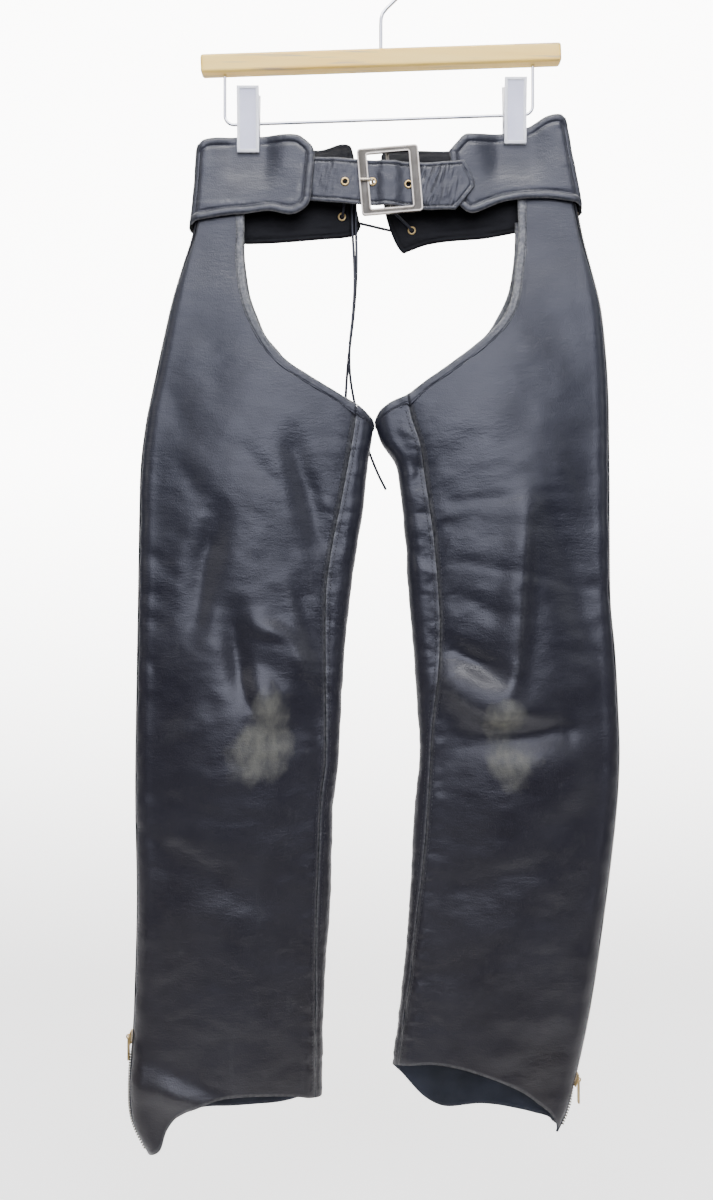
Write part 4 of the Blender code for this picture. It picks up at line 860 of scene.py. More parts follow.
def shaded_inside_material():
    """The yokes' inner side: smooth black leather with a low sheen, darker than the outside as painted shade."""
    material, nodes, shader = new_material("shaded inner leather", (0.004, 0.0038, 0.0042), 0.5)
    tone = ramp(nodes, object_noise(nodes, 40, 4), ((0.3, (0.003, 0.0028, 0.0032)), (0.7, (0.006, 0.0056, 0.0064))))
    nodes.join(tone, shader.inputs["Base Color"])
    worn = nodes.add("ShaderNodeGroup", node_tree=leather_group)
    nodes.join(worn.outputs["Normal"], shader.inputs["Normal"])
    shader.inputs["Specular IOR Level"].default_value = 0.14
    return material


def suede_material():
    material, nodes, shader = new_material("suede side", (0.02, 0.024, 0.034), 0.92)
    cloud = ramp(nodes, object_noise(nodes, 30, 6), ((0.3, (0.006, 0.008, 0.013)), (0.7, (0.018, 0.022, 0.033))))
    nodes.join(cloud, shader.inputs["Base Color"])
    nodes.join(bump(nodes, object_noise(nodes, 1400, 3), 0.5, 0.0003), shader.inputs["Normal"])
    shader.inputs["Sheen Weight"].default_value = 0.12
    shader.inputs["Sheen Roughness"].default_value = 0.5
    return material


def tape_material():
    """Woven zip tape: ribs across the piece's own UV, whose unit is a millimetre."""
    material, nodes, shader = new_material("zip tape", (0.014, 0.014, 0.016), 0.8)
    uv = nodes.add("ShaderNodeTexCoord").outputs["UV"]
    rib = nodes.add("ShaderNodeTexWave", wave_type="BANDS", bands_direction="Y", Scale=0.9, Vector=uv)
    cross = nodes.add("ShaderNodeTexWave", wave_type="BANDS", bands_direction="X", Scale=0.55, Vector=uv)
    weave = mix(nodes, 0.5, rib.outputs["Color"], cross.outputs["Color"])
    colour = ramp(nodes, weave, ((0.2, (0.008, 0.008, 0.01)), (0.8, (0.03, 0.03, 0.034))))
    nodes.join(colour, shader.inputs["Base Color"])
    nodes.join(bump(nodes, weave, 0.6, 0.0003), shader.inputs["Normal"])
    return material


def make_tarnish_group():
    """Metal with darker cloudy tarnish and fine scratches, which Stretch draws out."""
    takes = {
        "Clean": (0.5, 0.5, 0.5, 1), "Dark": (0.2, 0.2, 0.2, 1),
        "Roughness": 0.3, "Scale": 90.0, "Stretch": (1, 1, 1),
    }
    gives = {"Color": "Color", "Roughness": "Float", "Normal": "Vector"}
    nodes, takes, out = new_group("tarnish", takes, gives)
    cloud = ramp(nodes, object_noise(nodes, takes["Scale"], 5), ((0.35, 0.0), (0.75, 1.0)))
    share = maths(nodes, "MULTIPLY", cloud, 0.7)
    nodes.join(mix(nodes, share, takes["Clean"], takes["Dark"]), out["Color"])
    finer = maths(nodes, "MULTIPLY", takes["Scale"], 4.0)
    uneven = ramp(nodes, object_noise(nodes, finer, 4, takes["Stretch"]), ((0.3, 0.535), (0.75, 1.0)))
    rough = maths(nodes, "MULTIPLY", maths(nodes, "MULTIPLY", uneven, 1.4), takes["Roughness"])
    nodes.join(rough, out["Roughness"])
    scratches = object_noise(nodes, 900, 4, takes["Stretch"])
    nodes.join(bump(nodes, scratches, 0.12, 0.0001), out["Normal"])
    return nodes.tree


def metal_material(name, colour, roughness, dark, scale=90.0, stretch=(1, 1, 1)):
    material, nodes, shader = new_material(name, colour, roughness, 1.0)
    surface_look = nodes.add(
        "ShaderNodeGroup", node_tree=tarnish_group,
        Clean=colour, Dark=dark, Roughness=roughness, Scale=scale, Stretch=stretch,
    )
    nodes.join(surface_look.outputs["Color"], shader.inputs["Base Color"])
    nodes.join(surface_look.outputs["Roughness"], shader.inputs["Roughness"])
    nodes.join(surface_look.outputs["Normal"], shader.inputs["Normal"])
    return material


def wood_material():
    """Pale varnished wood with straight grain along the bar."""
    material, nodes, shader = new_material("pale wood", (0.9, 0.6, 0.2), 0.38)
    long = object_noise(nodes, 26, 6, (0.18, 2.2, 2.2), 0.55)
    colour = ramp(nodes, long, ((0.28, (0.90, 0.52, 0.08)), (0.5, (0.96, 0.63, 0.12)), (0.75, (0.97, 0.68, 0.17))))
    pores = ramp(nodes, object_noise(nodes, 240, 3, (0.05, 1, 1)), ((0.30, 0.0), (0.42, 1.0)))
    nodes.join(mix(nodes, pores, (0.55, 0.37, 0.18), colour), shader.inputs["Base Color"])
    nodes.join(bump(nodes, long, 0.15, 0.0003), shader.inputs["Normal"])
    shader.inputs["Coat Weight"].default_value = 0.15
    shader.inputs["Coat Roughness"].default_value = 0.3
    return material


def make_plastic_group():
    """Moulded plastic with a faint uneven tone between two colours."""
    takes = {"Dark": (0.8, 0.8, 0.8, 1), "Light": (0.9, 0.9, 0.9, 1)}
    nodes, takes, out = new_group("moulded tone", takes, {"Color": "Color", "Normal": "Vector"})
    share = ramp(nodes, object_noise(nodes, 70, 4), ((0.3, 0.0), (0.7, 1.0)))
    nodes.join(mix(nodes, share, takes["Dark"], takes["Light"]), out["Color"])
    nodes.join(bump(nodes, object_noise(nodes, 600, 3), 0.08, 0.0002), out["Normal"])
    return nodes.tree


def plastic_material(name, dark, light):
    material, nodes, shader = new_material(name, light, 0.32)
    tone = nodes.add("ShaderNodeGroup", node_tree=plastic_group, Dark=dark, Light=light)
    nodes.join(tone.outputs["Color"], shader.inputs["Base Color"])
    nodes.join(tone.outputs["Normal"], shader.inputs["Normal"])
    shader.inputs["Subsurface Weight"].default_value = 0.1
    shader.inputs["Subsurface Radius"].default_value = (0.002, 0.002, 0.002)
    return material


def thread_material():
    material, nodes, shader = new_material("dark thread", (0.03, 0.03, 0.033), 0.6)
    tone = object_noise(nodes, 700, 2)
    shade = ramp(nodes, tone, ((0.3, (0.012, 0.012, 0.014)), (0.7, (0.055, 0.055, 0.06))))
    nodes.join(shade, shader.inputs["Base Color"])
    nodes.join(bump(nodes, tone, 0.5, 0.0002), shader.inputs["Normal"])
    return material


leather_group = make_leather_group()
tarnish_group = make_tarnish_group()
plastic_group = make_plastic_group()
leather = leather_material("black leather", 0.5, KNEE_PATCHES)
strap_leather = leather_material("strap leather", 0.8)
edge_leather = leather_material("bound edge leather", 0.9)
thong_leather = leather_material("thong leather", 0.3)
# The yokes' inner side is darkened as painted shade.
shaded_inside = shaded_inside_material()
suede = suede_material()
tape = tape_material()
thread = thread_material()
brass = metal_material("aged brass", (0.60, 0.43, 0.19), 0.32, (0.24, 0.16, 0.06))
brass_teeth = metal_material("dull brass teeth", (0.20, 0.17, 0.12), 0.42, (0.06, 0.05, 0.035), 120)
nickel = metal_material("satin nickel", (0.42, 0.38, 0.32), 0.30, (0.24, 0.21, 0.17), 60, (1, 1, 0.1))
dark_groove_nickel = metal_material("dark groove nickel", (0.10, 0.092, 0.078), 0.45, (0.045, 0.04, 0.034), 60, (1, 1, 0.1))
# Painted light: the buckle's prong gets a paler nickel than the frame so that it looks lit.
lit_prong_nickel = metal_material("pale prong nickel, painted light", (0.72, 0.64, 0.50), 0.55, (0.42, 0.36, 0.28), 60)
chrome = metal_material("chrome", (0.78, 0.78, 0.80), 0.12, (0.6, 0.6, 0.62), 40)
wood = wood_material()
plastic = plastic_material("white plastic", (0.84, 0.84, 0.87), (0.92, 0.92, 0.93))
# Painted shade: a greyer, bluer copy of the white plastic for the clips' sunk panels.
shaded_panel_plastic = plastic_material("shaded plastic", (0.66, 0.66, 0.80), (0.72, 0.72, 0.84))
for lace_end in lace_pieces:
    lace_end.data.materials.append(thong_leather)


# Leather walls: every panel is a thin shell round its own mid-surface.


def grid_piece(name, points, material, wall, outward, thickness=None, rub=None, inside=None):
    """A sheet through an array of points in millimetres, rows by columns, with its wall.

    outward is the rough direction that its outer face looks. thickness is a share of the wall at
    each point, and rub how much the leather is worn there.
    """
    rows, columns = points.shape[:2]
    mesh = bpy.data.meshes.new(name)
    index = np.arange(rows * columns).reshape(rows, columns)
    corners = [index[:-1, :-1], index[1:, :-1], index[1:, 1:], index[:-1, 1:]]
    faces = np.stack(corners, axis=-1).reshape(-1, 4)
    a, b, c, d = (points.reshape(-1, 3)[faces[:, k]] for k in range(4))
    normal = np.cross(c - a, d - b).sum(axis=0)
    if normal.dot(np.array(outward)) < 0:
        faces = faces[:, ::-1]
    mesh.from_pydata((points.reshape(-1, 3) * MM).tolist(), [], faces.tolist())
    across = lengths_along(points[rows // 2])
    down = lengths_along(points[:, columns // 2])
    uv = mesh.uv_layers.new(name="UVMap")
    verts = np.zeros(len(mesh.loops), dtype=np.int32)
    mesh.loops.foreach_get("vertex_index", verts)
    flat = np.stack([across[verts % columns], down[verts // columns]], axis=1)
    uv.data.foreach_set("uv", flat.astype(np.float32).ravel())
    worn = mesh.attributes.new("rub", "FLOAT", "POINT")
    values = np.zeros(rows * columns) if rub is None else np.ravel(rub)
    worn.data.foreach_set("value", values.astype(np.float32))
    mesh.materials.append(material)
    mesh.materials.append(inside or material)
    mesh.shade_smooth()
    piece = link(name, mesh)
    solid = piece.modifiers.new("wall", "SOLIDIFY")
    solid.thickness = wall * MM
    solid.offset = 0
    solid.use_even_offset = False
    solid.material_offset = 1
    solid.material_offset_rim = 1 if inside is not None else 0
    if thickness is not None:
        group = piece.vertex_groups.new(name="thickness")
        for k, share in enumerate(np.ravel(thickness)):
            group.add([k], float(share), "REPLACE")
        solid.vertex_group = "thickness"
        solid.thickness_vertex_group = 0.0
    apply_modifiers(piece)
    return piece


def apply_modifiers(piece):
    only(piece)
    for modifier in list(piece.modifiers):
        bpy.ops.object.modifier_apply(modifier=modifier.name)
    piece.select_set(False)


def leg_relief(side, face, x, drop):
    """Creases and uneven waves on a leg's front or back, in millimetres."""
    panel = face + " " + side
    soft = [(*crease[:4], crease[4] * 1.9, crease[5] * 1.35) for crease in CREASES[panel]]
    total = fold_height(soft, x, drop) + 0.45 * fold_height(FOLDS[panel], x, drop)
    return total + rumple(x, drop, LEG_SEEDS[panel]) * (0.5 + 0.5 * ease(430, 560, drop))


def seam_pucker(distance, along, reach, depth, pitch, seed):
    """Small pulls beside a line of stitches: a groove with uneven ripples across it."""
    ripple = rumple(along, distance * 0.5, seed, (pitch * 0.45, pitch * 0.2), (0.8, 0.4), 1.0)
    fade = bell(distance, reach * 0.4, reach * 0.5)
    return 0.45 * depth * ripple * fade - depth * bell(distance, 0, reach * 0.35)


def leg_columns(side, face):
    """The tops of a leg panel's columns: under the yoke, then along the opening's binding."""
    edge = resample(opening_edge(side, face), OPENING_STEPS[face], OPENING_CROWDING[face])
    inside = edge_inside(side, edge, BINDING_WIDTH - BINDING_LAP)
    seam_drop = edge[0][1] + (BINDING_WIDTH - BINDING_LAP) * CORNER_STRETCH
    inside[0] = (float(panel_around(side, face, 1 if face == "front" else 0, seam_drop)), seam_drop)
    corner = inside[-1]
    seam_top = LEG_SIDE_TOP[side]
    seam_point = (float(panel_around(side, face, 0 if face == "front" else 1, seam_top)), seam_top)
    top_steps = LEG_COLUMNS[face]
    if face == "front":
        first = resample([seam_point, corner], top_steps)[:-1]
        return first + [tuple(p) for p in smooth_points(inside[::-1], FINE_STEPS)]
    first = [tuple(p) for p in smooth_points(inside, FINE_STEPS)]
    return first + resample([corner, seam_point], top_steps)[1:]


def make_leg(side, face):
    """One leg panel: creased leather from its yoke and its opening down to the hem."""
    panel = face + " " + side
    around_top, drop_top = np.array(leg_columns(side, face), float).T
    place = np.arange(len(drop_top)) / (len(drop_top) - 1)
    foot_share = place - FOOT_CROWDING[face] * np.sin(2 * math.pi * place) / (2 * math.pi)
    down = (np.arange(LEG_ROWS + 1) / LEG_ROWS)[:, None] ** 1.1
    drop = blend(drop_top[None, :], read_table(HEMS[panel], foot_share)[None, :], down)
    share_top = panel_share(side, face, around_top, drop_top)
    share = blend(share_top[None, :], foot_share[None, :], down)
    around = panel_around(side, face, share, drop)
    plain_x = surface(side, around, drop)[..., 0]
    width = abs(panel_around(side, face, 1, drop) - panel_around(side, face, 0, drop))
    width = width * section(side, drop, True)["girth"]
    from_zip = share * width
    from_inseam = (1 - share) * width
    if face == "back":
        from_zip, from_inseam = from_inseam, from_zip
    under_yoke = ease(0, 16, abs(drop - drop_top[None, :]) * 0.8)
    relief = leg_relief(side, face, plain_x, drop) * blend(0.15, 1.0, under_yoke)
    relief = relief + seam_pucker(from_inseam, drop, 18, 1.45, 12, 1.7)
    relief = relief + seam_pucker(from_zip, drop, 15, 1.1, 15, 4.2) * ease(330, 380, drop)
    clear = 0.1 + 0.9 * ease(*TUCK_ENDS, drop)
    points = surface(side, around, drop, relief=relief * clear)
    rub = 0.9 * bell(from_inseam, 0, 1.6) + 0.5 * bell(from_zip, 0, 2.0)
    rub = rub + 0.55 * bell(drop, drop[-1][None, :], 2.0)
    rub = rub + 0.10 * np.clip(fold_height(CREASES[panel], plain_x, drop), 0, 2)
    piece = grid_piece(
        f"leg_{face}_{side}_leather", points, leather, LEG_WALL, (0, FACES[face], 0),
        rub=np.clip(rub, 0, 1), inside=suede,
    )
    stands_for(f"leg_{face}_{side}")


def make_bound_edge(side, face):
    """The folded binding along one stretch of the opening's edge; gives back its stitch line."""
    edge = resample(opening_edge(side, face), OPENING_STEPS[face], OPENING_CROWDING[face])
    inside = edge_inside(side, edge, BINDING_WIDTH)
    first_drop = edge[0][1]
    seam_gap = FACES[face] * SEAM_HALF_GAP / section(side, first_drop, True)["girth"]
    seam_drop = first_drop + BINDING_WIDTH * CORNER_STRETCH
    edge[0] = (float(inseam_around(side, first_drop) + seam_gap), first_drop)
    inside[0] = (float(inseam_around(side, seam_drop) + seam_gap), seam_drop)
    outer_line = smooth_points(edge, 8)
    inner_line = smooth_points(inside, 8)
    across = np.array([0, 0.05, 0.13, 0.24, 0.38, 0.52, 0.66, 0.76, 0.82, 0.88, 0.95, 1.0])[:, None]
    around, drop = np.moveaxis(blend(outer_line, inner_line, across[..., None]), -1, 0)
    along = lengths_along(surface(side, around, drop)[5])[None, :]
    ripple = np.sin(along / 3.1 + 1.6 * np.sin(along / 8.3)) * 0.22
    ripple = ripple + rumple(along, across * 40, 5.5, (9,), (0.3,))
    points = surface(side, around, drop, relief=ripple * (across > 0.02))
    rolled = rounded(np.minimum(across, 1 - across), 0.2, 0.03)
    groove = 1 - 0.30 * bell(across, BINDING_STITCH_SHARE, 0.05)
    # The binding is made paler along its folded edge and higher up the opening.
    upper = 1 - ease(330, 400, drop)
    rub = np.clip(0.25 + 0.55 * upper + 0.5 * bell(across, 0, 0.1) - 0.3 * across, 0, 1)
    piece = grid_piece(
        f"binding_{face}_{side}_leather", points, edge_leather, BINDING_WALL, (0, FACES[face], 0),
        thickness=np.broadcast_to(rolled * groove, drop.shape), rub=rub,
    )
    stands_for(f"binding_{face}_{side}")
    return blend(outer_line, inner_line, BINDING_STITCH_SHARE)


def edge_distance(points):
    """How far each point of a grid lies from its rim, and where along the rim, in millimetres."""
    closed_edge = rim_of(points)
    flat = points.reshape(-1, 3)
    nearest = np.full(len(flat), 1e9)
    along = np.zeros(len(flat))
    for spot, length in zip(closed_edge, lengths_along(closed_edge)):
        gap = np.linalg.norm(flat - spot, axis=1)
        along = np.where(gap < nearest, length, along)
        nearest = np.minimum(gap, nearest)
    return nearest.reshape(points.shape[:2]), along.reshape(points.shape[:2])


def rim_of(points):
    return np.vstack([points[0], points[1:, -1], points[-1, -2::-1], points[-2:0:-1, 0]])


def crowded(count, strength=0.75):
    """Places from 0 to 1, closer together at both ends."""
    t = np.arange(count + 1) / count
    return t - strength * np.sin(2 * math.pi * t) / (2 * math.pi)


def turned_border(distance, wall):
    """The share of a doubled wall's thickness near its turned edge and its border stitching."""
    return rounded(distance, wall * 0.9, 0.02) * (1 - 0.32 * bell(distance, YOKE_STITCH_INSET, 1.1))


# Pale streaks on the front yokes, painted highlights as well as scuffs: x, drop, the reach along and down, and the
# strength.
PALE_STREAKS = {
    "front L": (
        (-155, 240.5, 24, 1.8, 0.6), (-118, 241, 14, 1.6, 0.55), (-82, 226, 1.8, 9, 0.6),
        (-88, 238, 6, 2, 0.4), (-172, 205, 3, 16, 0.16), (-140, 212, 20, 5, 0.08),
    ),
    "front R": (
        (147, 228, 8, 2.0, 0.8), (118, 233, 16, 1.6, 0.3), (100, 241, 9, 1.6, 0.3),
        (176, 190, 3, 18, 0.14),
    ),
    "back L": ((-120, 240, 26, 2, 0.2),),
    "back R": ((110, 240, 26, 2, 0.2),),
}


def make_yoke(side, face):
    """A doubled yoke with turned edges; gives back its middle surface for the stitching."""
    fine = smooth_points(YOKES[face + " " + side], 12)
    last = len(fine) - 1
    place = np.interp(crowded(110, 0.55), np.arange(len(fine)) / last, np.arange(len(fine)))
    x_top, top, x_bottom, bottom = read_line(fine, np.arange(len(fine)), place).T[:, None, :]
    down = crowded(54)[:, None]
    inner_end = ease(0.6, 1.0, place / last)[None, :]
    drop = blend(top, bottom, down)
    x = blend(x_top, x_bottom, down ** blend(1.0, YOKE_LEAN[face], inner_end))
    around = around_at(side, x, drop, face, False)
    seam = YOKE_SEAM_HALF_GAP / section(side, drop[:, 0], False)["girth"]
    around[:, 0] = seam if face == "front" else 2 - seam
    plain = surface(side, around, drop, False)
    plain_x = plain[..., 0]
    distance, along = edge_distance(plain)
    from_seam = np.linalg.norm(plain - plain[:, :1], axis=-1)
    pucker = seam_pucker(abs(distance - YOKE_STITCH_INSET), along, 7, 0.75, 9, 2.2)
    seed = 30 + SIDES[side] * 5 + (face == "back") * 11
    waves = rumple(plain_x, drop, seed, (34, 15), (0.5, 0.22), 1.3)
    beside_clip = 1 - bell(np.maximum(abs(x - CLIP_X[side]) - 12, 0), 0, 7)
    free = np.where(drop < 215, beside_clip, 1.0)
    relief = (0.5 * bell(distance, 4.2, 2.6) + pucker + waves) * free * ease(0.5, 5, from_seam)
    points = surface(side, around, drop, False, relief=relief)
    thickness = turned_border(distance, YOKE_WALL)
    thickness = np.where(from_seam < 6, np.maximum(thickness, 0.8), thickness)
    rub = 0.5 * bell(distance, 0, 1.6) + 0.12 * bell(distance, 4.5, 2)
    streaks = 0.75 + 0.9 * rumple(plain_x, drop * 2.2, 71.0, (9, 4), (0.5, 0.4), 2.2)
    # The pale streaks, painted highlight as well as scuffs, add to the rub.
    for streak_x, streak_drop, reach_x, reach_drop, strength in PALE_STREAKS[face + " " + side]:
        spot = bell(plain_x, streak_x, reach_x) * bell(drop, streak_drop, reach_drop)
        rub = rub + strength * spot * np.clip(streaks, 0, 1.6)
    piece = grid_piece(
        f"yoke_{face}_{side}_leather", points, strap_leather, YOKE_WALL, (0, FACES[face], 0),
        thickness=thickness, rub=np.clip(rub, 0, 1), inside=shaded_inside,
    )
    stands_for(f"yoke_{face}_{side}")
    return points


def yoke_depths(side, x):
    """The front yoke's y at places round x, from its top to its lower edge."""
    return [
        float(surface(side, around_at(side, spot, drop, "front", False), drop, False)[1])
        for spot in (x - 5, x, x + 5)
        for drop in (194, 220, 246)
    ]


def strap_y(x, table_y):
    """The strap's depth: under the left yoke, free in the middle, over the right yoke."""
    lay = YOKE_WALL / 2 + GAP + 0.1 + STRAP_WALL / 2
    if table_y is not None:
        return table_y
    if x < 0:
        return max(yoke_depths("L", x)) + lay
    return min(yoke_depths("R", x)) - lay


def make_belt_strap():
    """The belt strap with its holes; gives back its border's stitch line."""
    xs, tops, bottoms = (np.array([row[k] for row in STRAP], float) for k in range(3))
    depths = [strap_y(row[0], row[3]) for row in STRAP]
    fine_x = np.arange(xs[0], xs[-1] + 0.01, 1.0)
    top = np.interp(fine_x, xs, tops)
    bottom = np.interp(fine_x, xs, bottoms)
    depth = np.pad(np.interp(fine_x, xs, depths), 3, mode="edge")
    depth = np.convolve(depth, np.ones(7) / 7, mode="valid")
    drop = blend(top[None, :], bottom[None, :], crowded(44, 0.5)[:, None])
    x = np.broadcast_to(fine_x[None, :], drop.shape)
    plain = np.stack([x, np.broadcast_to(depth[None, :], drop.shape), -drop], axis=-1)
    distance, along = edge_distance(plain)
    lean = x + 0.28 * (drop - 222)
    past_buckle = ease(30, 38, x) * (1 - ease(66, 84, x))
    wrinkles = 1.5 * rumple(lean * 3.4, drop * 0.55, 52.0, (9, 5), (0.5, 0.3), 1.0) * past_buckle
    before_buckle = 1 - ease(-20, -6, x)
    wrinkles = wrinkles + 0.5 * rumple(lean * 3.0, drop * 0.6, 57.0, (9, 5), (0.5, 0.3), 1.0) * before_buckle
    wrinkles = wrinkles * ease(0, 6, distance)
    flat_spot = 1.0
    for eyelet_x, eyelet_drop in STRAP_EYELETS:
        flat_spot = flat_spot * ease(4.0, 8.0, np.hypot(x - eyelet_x, drop - eyelet_drop))
    waves = rumple(x, drop, 41.0, (16, 7), (0.3, 0.15), 0.8)
    pucker = seam_pucker(abs(distance - STRAP_STITCH_INSET), along, 4, 0.4, 6, 0.4)
    plain[..., 1] -= (wrinkles * 0.8 + waves + pucker) * flat_spot
    rolled = rounded(distance, 2.2, 0.03) * (1 - 0.3 * bell(distance, STRAP_STITCH_INSET, 0.8))
    rub = 0.45 * bell(distance, 0, 1.4) + 0.15 * np.clip(wrinkles, 0, 1)
    piece = grid_piece(
        "belt_strap_leather", plain, strap_leather, STRAP_WALL, (0, -1, 0),
        thickness=rolled, rub=np.clip(rub, 0, 1),
    )
    punch_holes(piece, STRAP_EYELETS)
    stands_for("belt_strap")
    return inner_border(top, bottom, fine_x, depth, STRAP_STITCH_INSET)


def punch_holes(piece, places):
    """Round holes for the eyelets: faces inside go, and the rim is set on a circle."""
    shape = bmesh.new()
    shape.from_mesh(piece.data)
    for x, drop in places:
        gone = []
        for face in shape.faces:
            middle = face.calc_center_median()
            if math.hypot(middle.x / MM - x, -middle.z / MM - drop) < EYELET_HOLE_EDGE - 0.2:
                gone.append(face)
        bmesh.ops.delete(shape, geom=gone, context="FACES")
        rims = [edge for edge in shape.edges if edge.is_boundary]
        verts = {vert for edge in rims for vert in edge.verts}
        for vert in verts:
            away = math.hypot(vert.co.x / MM - x, -vert.co.z / MM - drop)
            if away < EYELET_HOLE_EDGE + 2:
                share = EYELET_HOLE_EDGE / away
                vert.co.x = (x + (vert.co.x / MM - x) * share) * MM
                vert.co.z = -(drop + (-vert.co.z / MM - drop) * share) * MM
        bmesh.ops.bridge_loops(shape, edges=rims)
    bmesh.ops.recalc_face_normals(shape, faces=shape.faces)
    shape.to_mesh(piece.data)
    shape.free()


def inner_border(top, bottom, xs, ys, inset):
    """A stitch line at a distance inside the strap's two long edges and its pointed tip."""
    keep = (bottom - top) > 2 * inset + 3
    upper = np.stack([xs, ys, -(top + inset)], axis=1)[keep]
    lower = np.stack([xs, ys, -(bottom - inset)], axis=1)[keep]
    return np.vstack([upper, lower[::-1]])


def make_buckle_strap():
    """The short strap that turns round the buckle's centre bar and lies on the right yoke."""
    turn = BUCKLE_BAR_RADIUS + GAP + 0.1 + BUCKLE_STRAP_WALL / 2
    lay = YOKE_WALL / 2 + GAP + 0.1 + BUCKLE_STRAP_WALL / 2
    path = [(x, max(yoke_depths("R", x)) + lay) for x in (82, 66)]
    path += [(46, -3.9), (22, -3.3)]
    for step in range(9):
        angle = math.radians(60 + 240 * step / 8)
        path.append((BUCKLE_X + turn * math.cos(angle), BUCKLE_BAR_Y + turn * math.sin(angle)))
    path += [(16, -7.3), (24, -5.9)]
    fine = []
    for (x0, y0), (x1, y1) in zip(path[:-1], path[1:]):
        steps = max(1, round(math.hypot(x1 - x0, y1 - y0) / 1.6))
        fine += [(blend(x0, x1, s / steps), blend(y0, y1, s / steps)) for s in range(steps)]
    fine_x, fine_y = np.array(fine + [path[-1]]).T[:, None, :]
    down = np.linspace(0, 1, 25)[:, None]
    drop = blend(*BUCKLE_STRAP_DROPS, down)
    x = fine_x + (drop - BUCKLE_DROP) * math.sin(BUCKLE_TILT) * (1 - ease(26, 60, fine_x))
    points = np.stack(np.broadcast_arrays(x, fine_y, -drop), axis=-1)
    width = BUCKLE_STRAP_DROPS[1] - BUCKLE_STRAP_DROPS[0]
    rolled = rounded(np.minimum(down, 1 - down) * width, 1.8, 0.05)
    piece = grid_piece(
        "buckle_strap_leather", points, strap_leather, BUCKLE_STRAP_WALL, (0, 1, 0),
        thickness=np.broadcast_to(rolled, x.shape),
    )
    stands_for("buckle_strap")


def make_zip_tape(side, face):
    """One half of the zip: woven tape, thicker along the edge that holds the teeth."""
    rows = (np.arange(301) / 300)[:, None]
    drop = blend(LEG_SIDE_TOP[side], hem_end(side, face, True), rows)
    out_of_tuck = ease(*TUCK_ENDS, drop)
    narrowing = ZIP_NARROWING * (1 - out_of_tuck)
    across = np.array([0, 0.1, 0.25, 0.45, 0.65, 0.85, 1.0])[None, :]
    reach = blend(ZIP_TAPE_START + narrowing / 2, ZIP_HALF_WIDTH - GAP - narrowing, across)
    around = reach / section(side, drop, True)["girth"]
    around = around if face == "front" else 2 - around
    ripple = 0.25 * np.sin(drop / 9 + 1.5 * np.sin(drop / 31)) * ease(0.2, 1, across)
    points = surface(side, around, drop, relief=ripple * out_of_tuck)
    thickness = np.broadcast_to(0.62 + 0.38 * bell(across, 0.05, 0.18), around.shape)
    piece = grid_piece(
        f"zip_{face}_{side}_tape", points, tape, ZIP_WALL, (SIDES[side], 0, 0), thickness=thickness,
    )
    stands_for(f"zip_{face}_{side}")


# Stitches and zip teeth: many small pieces in one mesh. A profile is a list of points, in
# millimetres, and a list of faces.
STITCH = (
    [(-1.35, 0, -0.25), (-0.75, 0.34, 0.12), (-0.75, -0.34, 0.12), (-0.75, 0, 0.36),
     (0.75, 0.34, 0.12), (0.75, -0.34, 0.12), (0.75, 0, 0.36), (1.35, 0, -0.25), (0, 0, -0.3)],
    [(0, 3, 1), (0, 2, 3), (1, 3, 6, 4), (3, 2, 5, 6), (4, 6, 7), (6, 5, 7), (0, 1, 8), (1, 4, 8),
     (4, 7, 8), (7, 5, 8), (5, 2, 8), (2, 0, 8)],
)
TOOTH = (
    [(x, y, z) for x in (-0.62, 0.62) for y, z in ((-1.5, -1.1), (1.2, -0.8), (1.2, 0.8), (-1.5, 1.1))],
    [(0, 3, 2, 1), (4, 5, 6, 7), (0, 1, 5, 4), (1, 2, 6, 5), (2, 3, 7, 6), (3, 0, 4, 7)],
)


def unit(rows):
    """Each row of an array brought to length 1."""
    return rows / np.linalg.norm(rows, axis=1)[:, None]


def small_pieces(name, places, runs, ups, profile, material):
    """Copies one small shape to many places: runs and ups are its own x and z directions."""
    points, faces = profile
    points = np.array(points, float)
    runs = unit(runs)
    ups = unit(ups - runs * (ups * runs).sum(axis=1)[:, None])
    across = np.cross(ups, runs)
    spots = (
        places[:, None, :] + points[None, :, :1] * runs[:, None, :]
        + points[None, :, 1:2] * across[:, None, :] + points[None, :, 2:] * ups[:, None, :]
    )
    count = len(points)
    all_faces = [[i * count + k for k in face] for i in range(len(places)) for face in faces]
    mesh = bpy.data.meshes.new(name)
    mesh.from_pydata((spots.reshape(-1, 3) * MM).tolist(), [], all_faces)
    mesh.materials.append(material)
    mesh.shade_smooth()
    link(name, mesh)


def even_marks(points, pitch, outward):
    """Places at an even pitch on a line, the line's direction and its outward direction there."""
    lengths = lengths_along(points)
    count = max(2, int(lengths[-1] / pitch))
    at = (np.arange(count) + 0.5) * lengths[-1] / count
    runs = read_line(points, lengths, at + 0.6) - read_line(points, lengths, at - 0.6)
    ups = read_line(np.broadcast_to(outward, points.shape), lengths, at)
    return read_line(points, lengths, at), runs, ups


def sew(name, places, runs, ups, lift):
    """Stitches at places on the leather's middle, raised outwards to its face."""
    small_pieces(name, places + ups * lift, runs, ups, STITCH, thread)


def leg_line(side, face, inset, from_zip, drops):
    """A line on a leg panel at a distance from its inseam or its zip, with its outward direction."""
    cut = section(side, drops, True)
    start, other = (panel_around(side, face, share, drops) for share in (0, 1))
    if from_zip == (face == "back"):
        start, other = other, start
    around = start + np.sign(other - start) * inset / cut["girth"]
    relief = leg_relief(side, face, surface(side, around, drops)[:, 0], drops)
    points = surface(side, around, drops, relief=relief)
    over = surface(side, around + 0.004, drops) - surface(side, around - 0.004, drops)
    down = surface(side, around, drops + 1.5) - surface(side, around, drops - 1.5)
    normal = unit(np.cross(down, over))
    middle = np.stack([(cut["outer"] + cut["inner"]) / 2, 0 * drops, -drops], axis=1)
    flip = np.sign(((points - middle) * normal).sum(axis=1))
    return points, normal * flip[:, None]


